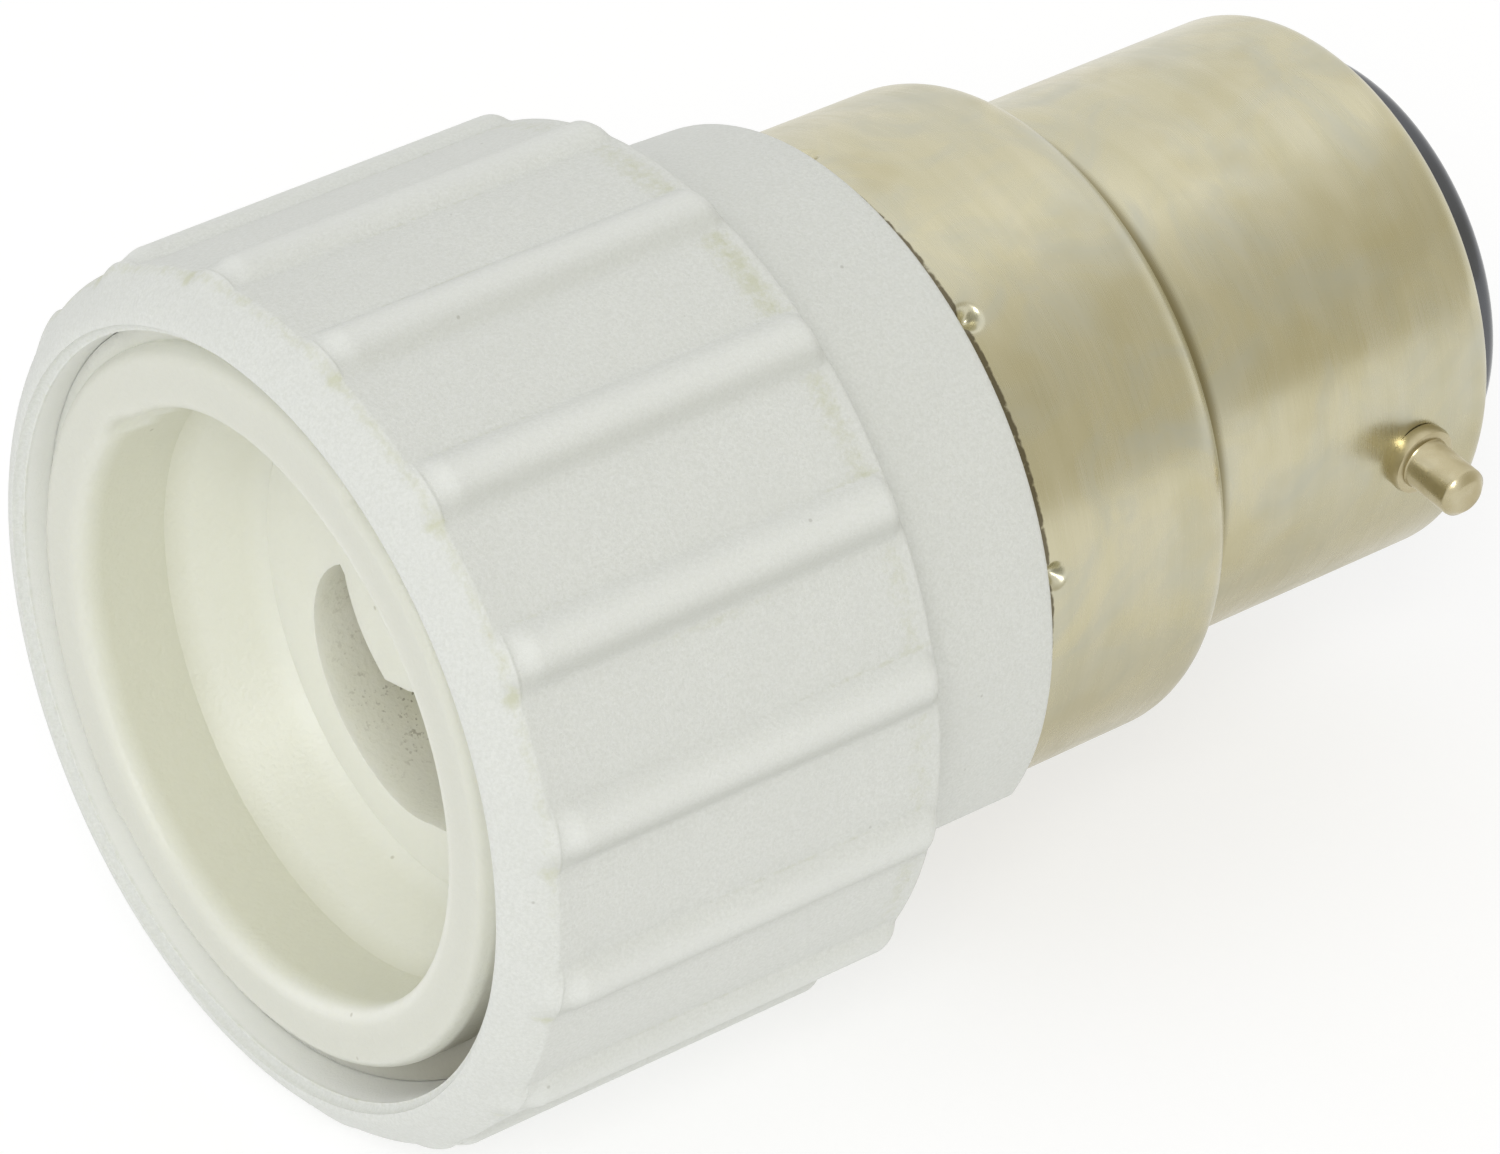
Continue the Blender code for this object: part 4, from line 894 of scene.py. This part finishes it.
# %% Finish: phenolic resin from a polished tool
def dark_phenolic():
    """Glossy resin whose flow shows as faint clouds."""
    finish, tree, shader, here = new_finish("dark_phenolic_polished_tool", 0.16, ior=1.63, coat=0.3)
    shader.inputs["Coat Roughness"].default_value = 0.06
    flow = add_node(tree, "ShaderNodeTexNoise", {"Vector": here, "Scale": per_metre(2.0), "Detail": 5.0})
    painted(tree, shader, "#25282E", [(flow.outputs["Fac"], 0.0, 1.0, 1.0, "#42464E")])
    embossed(tree, shader, [(flow.outputs["Fac"], 0.2, 0.03)])
    return finish


PHENOLIC = dark_phenolic()
print("finish made:", PHENOLIC.name)

# %% Cap insulator
DISC, DISC_END = 9.15, 52.95
HOLLOW, HOLLOW_TO = 8.70, 51.05
SHELF, SHELF_AT = 10.40, 49.00
disc_edge = round_corner((DISC_END - 0.85, DISC - 0.12), (DISC_END, DISC - 0.95), 8, True)
disc_profile = [(HOLLOW_TO, 0.0), (HOLLOW_TO, HOLLOW), (SHELF_AT, HOLLOW), (SHELF_AT, SHELF),
                (49.65, SHELF), (50.4, 9.2), (51.0, 9.2), (51.25, DISC), (DISC_END - 0.85, DISC - 0.12)]
disc_profile += list(map(tuple, disc_edge)) + [(DISC_END, DISC - 0.95), (DISC_END, 0.0)]
disc = turned("phenolic_disc", disc_profile, 128)
disc.data.materials.append(PHENOLIC)
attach(disc, "root")
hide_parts("cap_insulator")
print("insulator faces:", len(disc.data.polygons))

# %% [markdown]
# Two brass pads lie in the phenolic face, each closed by a bead of solder that is
# lumpy from the iron. The bead is a low dome whose points are shifted by a product
# of waves, which stays the same on every run.

# %% End contacts and solder beads
PAD_FACE, PAD, PAD_OFFSET = 53.15, 2.80, 5.20
BEAD, TOTAL = 2.05, 54.15
PAD_BACK, PAD_EDGE = 52.60, 0.12
BEAD_FOOT = PAD_FACE + 0.02
pad_profile = [(PAD_BACK, 0.0), (PAD_BACK, PAD), (PAD_FACE - PAD_EDGE, PAD), (PAD_FACE, PAD - PAD_EDGE),
               (PAD_FACE, 2.3), (BEAD_FOOT, 2.2), (BEAD_FOOT, 0.0)]
for k in range(2):
    angle = PIN_ANGLE + math.pi / 2 + math.pi * k
    pad = spun(f"brass_pad_{k + 1}", pad_profile, 48)
    stand(pad, 0.0, angle, PAD_OFFSET, 0.0)
    pad.data.materials.append(BRASS)
    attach(pad, "root")
    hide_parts(f"end_contact_{k + 1}")
    t = np.linspace(0, math.pi / 2, 12)
    dome = np.stack([BEAD_FOOT + (TOTAL - BEAD_FOOT) * np.sin(t), BEAD * np.cos(t)], axis=1)
    bead_profile = [(BEAD_FOOT, 0.0)] + list(map(tuple, dome[:-1])) + [(TOTAL, 0.0)]
    bead = spun(f"solder_bead_{k + 1}", bead_profile, 48)
    for v in bead.data.vertices:
        wave = math.sin(v.co.x * 2300 + k) * math.sin(v.co.y * 1900 + 2 * k)
        v.co.x *= 1 + 0.05 * wave
        v.co.y *= 1 - 0.05 * wave
    stand(bead, 0.0, angle, PAD_OFFSET, 0.0)
    bead.data.materials.append(SOLDER)
    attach(bead, "root")
    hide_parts(f"solder_{k + 1}")
    print("contact made:", pad.name, "with", bead.name)

# %% [markdown]
# What sits inside keeps its CAD solid and only gets a finish. The leads have a
# sleeve of braided glass fibre filled with silicone: a soft white with a fine
# woven relief.

# %% Finish: braided glass sleeve, and the pieces inside
def glass_sleeve():
    """Soft white braid that silicone has filled."""
    finish, tree, shader, here = new_finish("silicone_glass_sleeve", 0.62, ior=1.45)
    # The braid's threads are 0.2 mm apart, drawn at 0.3 mm.
    threads = add_node(tree, "ShaderNodeTexWave", {"Vector": here, "Scale": per_metre(0.3) / 20,
                                                   "Distortion": 1.0}, bands_direction="DIAGONAL")
    painted(tree, shader, "#CFCBBF", [(threads.outputs["Fac"], 0.0, 1.0, 1.0, "#EDEBE3")])
    embossed(tree, shader, [(threads.outputs["Fac"], 0.4, 0.05)])
    return finish


SLEEVE = glass_sleeve()
inside_finishes = {"socket_cover": STEATITE, "centre_rivet": BRASS, "contact_spring_1": BRONZE,
                   "contact_spring_2": BRONZE, "contact_rivet_1": BRASS, "contact_rivet_2": BRASS,
                   "terminal_1": BRASS, "terminal_2": BRASS, "lead_1": SLEEVE, "lead_2": SLEEVE}
for name, finish in inside_finishes.items():
    for slot in bpy.data.objects[name].material_slots:
        slot.material = finish
print("inner pieces dressed:", len(inside_finishes))

# %% [markdown]
# The adapter lies on a milky acrylic table that is lit a little from below, inside
# a light tent, which is how small white goods are photographed without a hard
# shadow. Three softboxes add shape: a small one overhead and a small one low at the
# left draw the edges, and a broad one high in front opens the mouth. Each is given
# as the share that it adds to the light on a surface facing it. The world is white
# for the camera and for reflections. Only the open side of the tent, at the right
# of the camera, is duller and warmer, and the metal shows it as a darker stretch.

# %% Softboxes
def softbox(name, away, size, share):
    """A square lamp at a place seen from the adapter, aimed at it."""
    away = Vector(away)
    lamp = bpy.data.lights.new(name, "AREA")
    lamp.size = size
    lamp.energy = share * math.pi ** 2 * away.length_squared
    holder = new_object(name, lamp)
    holder.location = Vector((0, 0, AXIS_Z)) + away
    holder.rotation_euler = (-away).to_track_quat("-Z", "Y").to_euler()
    print(name, "in watts:", round(lamp.energy, 2))


softbox("softbox_above", (0.05, 0.05, 0.50), 0.60, 0.05)
softbox("softbox_front", (-0.37, -0.42, 0.44), 0.22, 0.28)
softbox("softbox_left", (-0.45, 0.25, 0.12), 0.60, 0.05)

# %% World: the light tent
def two_levels(tree, lighting, looked_at):
    """One level for the light that falls on things, another for what is looked at."""
    rays = add_node(tree, "ShaderNodeLightPath")
    looks = rays.outputs["Is Camera Ray"]
    for kind in ("Is Glossy Ray", "Is Transmission Ray"):
        both = add_node(tree, "ShaderNodeMath", {0: looks, 1: rays.outputs[kind]}, operation="ADD")
        looks = both.outputs[0]
    feeds = {"Value": looks, "To Min": lighting, "To Max": looked_at}
    return add_node(tree, "ShaderNodeMapRange", feeds).outputs[0]


world = bpy.data.worlds.new("light_tent")
bpy.context.scene.world = world
world.use_nodes = True
sky = world.node_tree
sky.nodes.clear()
opening = Vector((0.58, -0.74, 0.33)).normalized()
direction = add_node(sky, "ShaderNodeTexCoord").outputs["Generated"]
toward = add_node(sky, "ShaderNodeVectorMath", {0: direction, 1: opening}, operation="DOT_PRODUCT")
dim = add_node(sky, "ShaderNodeMapRange", {"Value": toward.outputs["Value"], "From Min": 0.60,
                                           "From Max": 0.96})
room = add_node(sky, "ShaderNodeMix", {0: dim.outputs[0], 6: linear("#FFFFFF"), 7: linear("#D8D4C6")},
                data_type="RGBA")
glow = add_node(sky, "ShaderNodeBackground", {"Color": room.outputs[2],
                                              "Strength": two_levels(sky, 0.71, 1.0)})
add_node(sky, "ShaderNodeOutputWorld", {"Surface": glow.outputs[0]})
print("nodes of the world:", len(sky.nodes))

# %% Table
corners = np.array([(-3, -3, 0), (3, -3, 0), (3, 3, 0), (-3, 3, 0)], float)
table = finish_mesh("table", corners, [(0, 1, 2, 3)], 30)
if table.data.polygons[0].normal.z < 0:
    table.data.flip_normals()
acrylic = bpy.data.materials.new("milky_acrylic_lit_from_below")
acrylic.use_nodes = True
shade = acrylic.node_tree.nodes["Principled BSDF"]
shade.inputs["Base Color"].default_value = linear("#B4B4B4")
shade.inputs["Roughness"].default_value = 0.9
shade.inputs["Specular IOR Level"].default_value = 0.1
shade.inputs["Emission Color"].default_value = linear("#FFFFFF")
lit = two_levels(acrylic.node_tree, 0.52, 0.61)
acrylic.node_tree.links.new(lit, shade.inputs["Emission Strength"])
table.data.materials.append(acrylic)
print("finish made:", acrylic.name)

# %% [markdown]
# The camera stands at the left in front of the mouth, a good 30 degrees above the
# table, with a long lens that keeps the adapter nearly parallel.

# %% Camera
LENS = 206.6
FROM_MOUTH = Vector((-143.34, -215.19, 176.60)) * MM
LOOK_DOWN, LOOK_ROUND = math.radians(33.43), math.radians(-37.72)

camera = bpy.data.cameras.new("camera")
camera.lens = LENS
camera.sensor_width = 36.0
camera.sensor_fit = "HORIZONTAL"
camera.clip_start = 0.01
viewer = new_object("camera", camera)
viewer.location = Vector((FRONT, 0, AXIS_Z)) + FROM_MOUTH
viewer.rotation_euler = (math.pi / 2 - LOOK_DOWN, 0, LOOK_ROUND)
bpy.context.scene.camera = viewer
bpy.context.scene.view_settings.view_transform = "Standard"
print("camera to mouth in mm:", round(FROM_MOUTH.length / MM, 1))
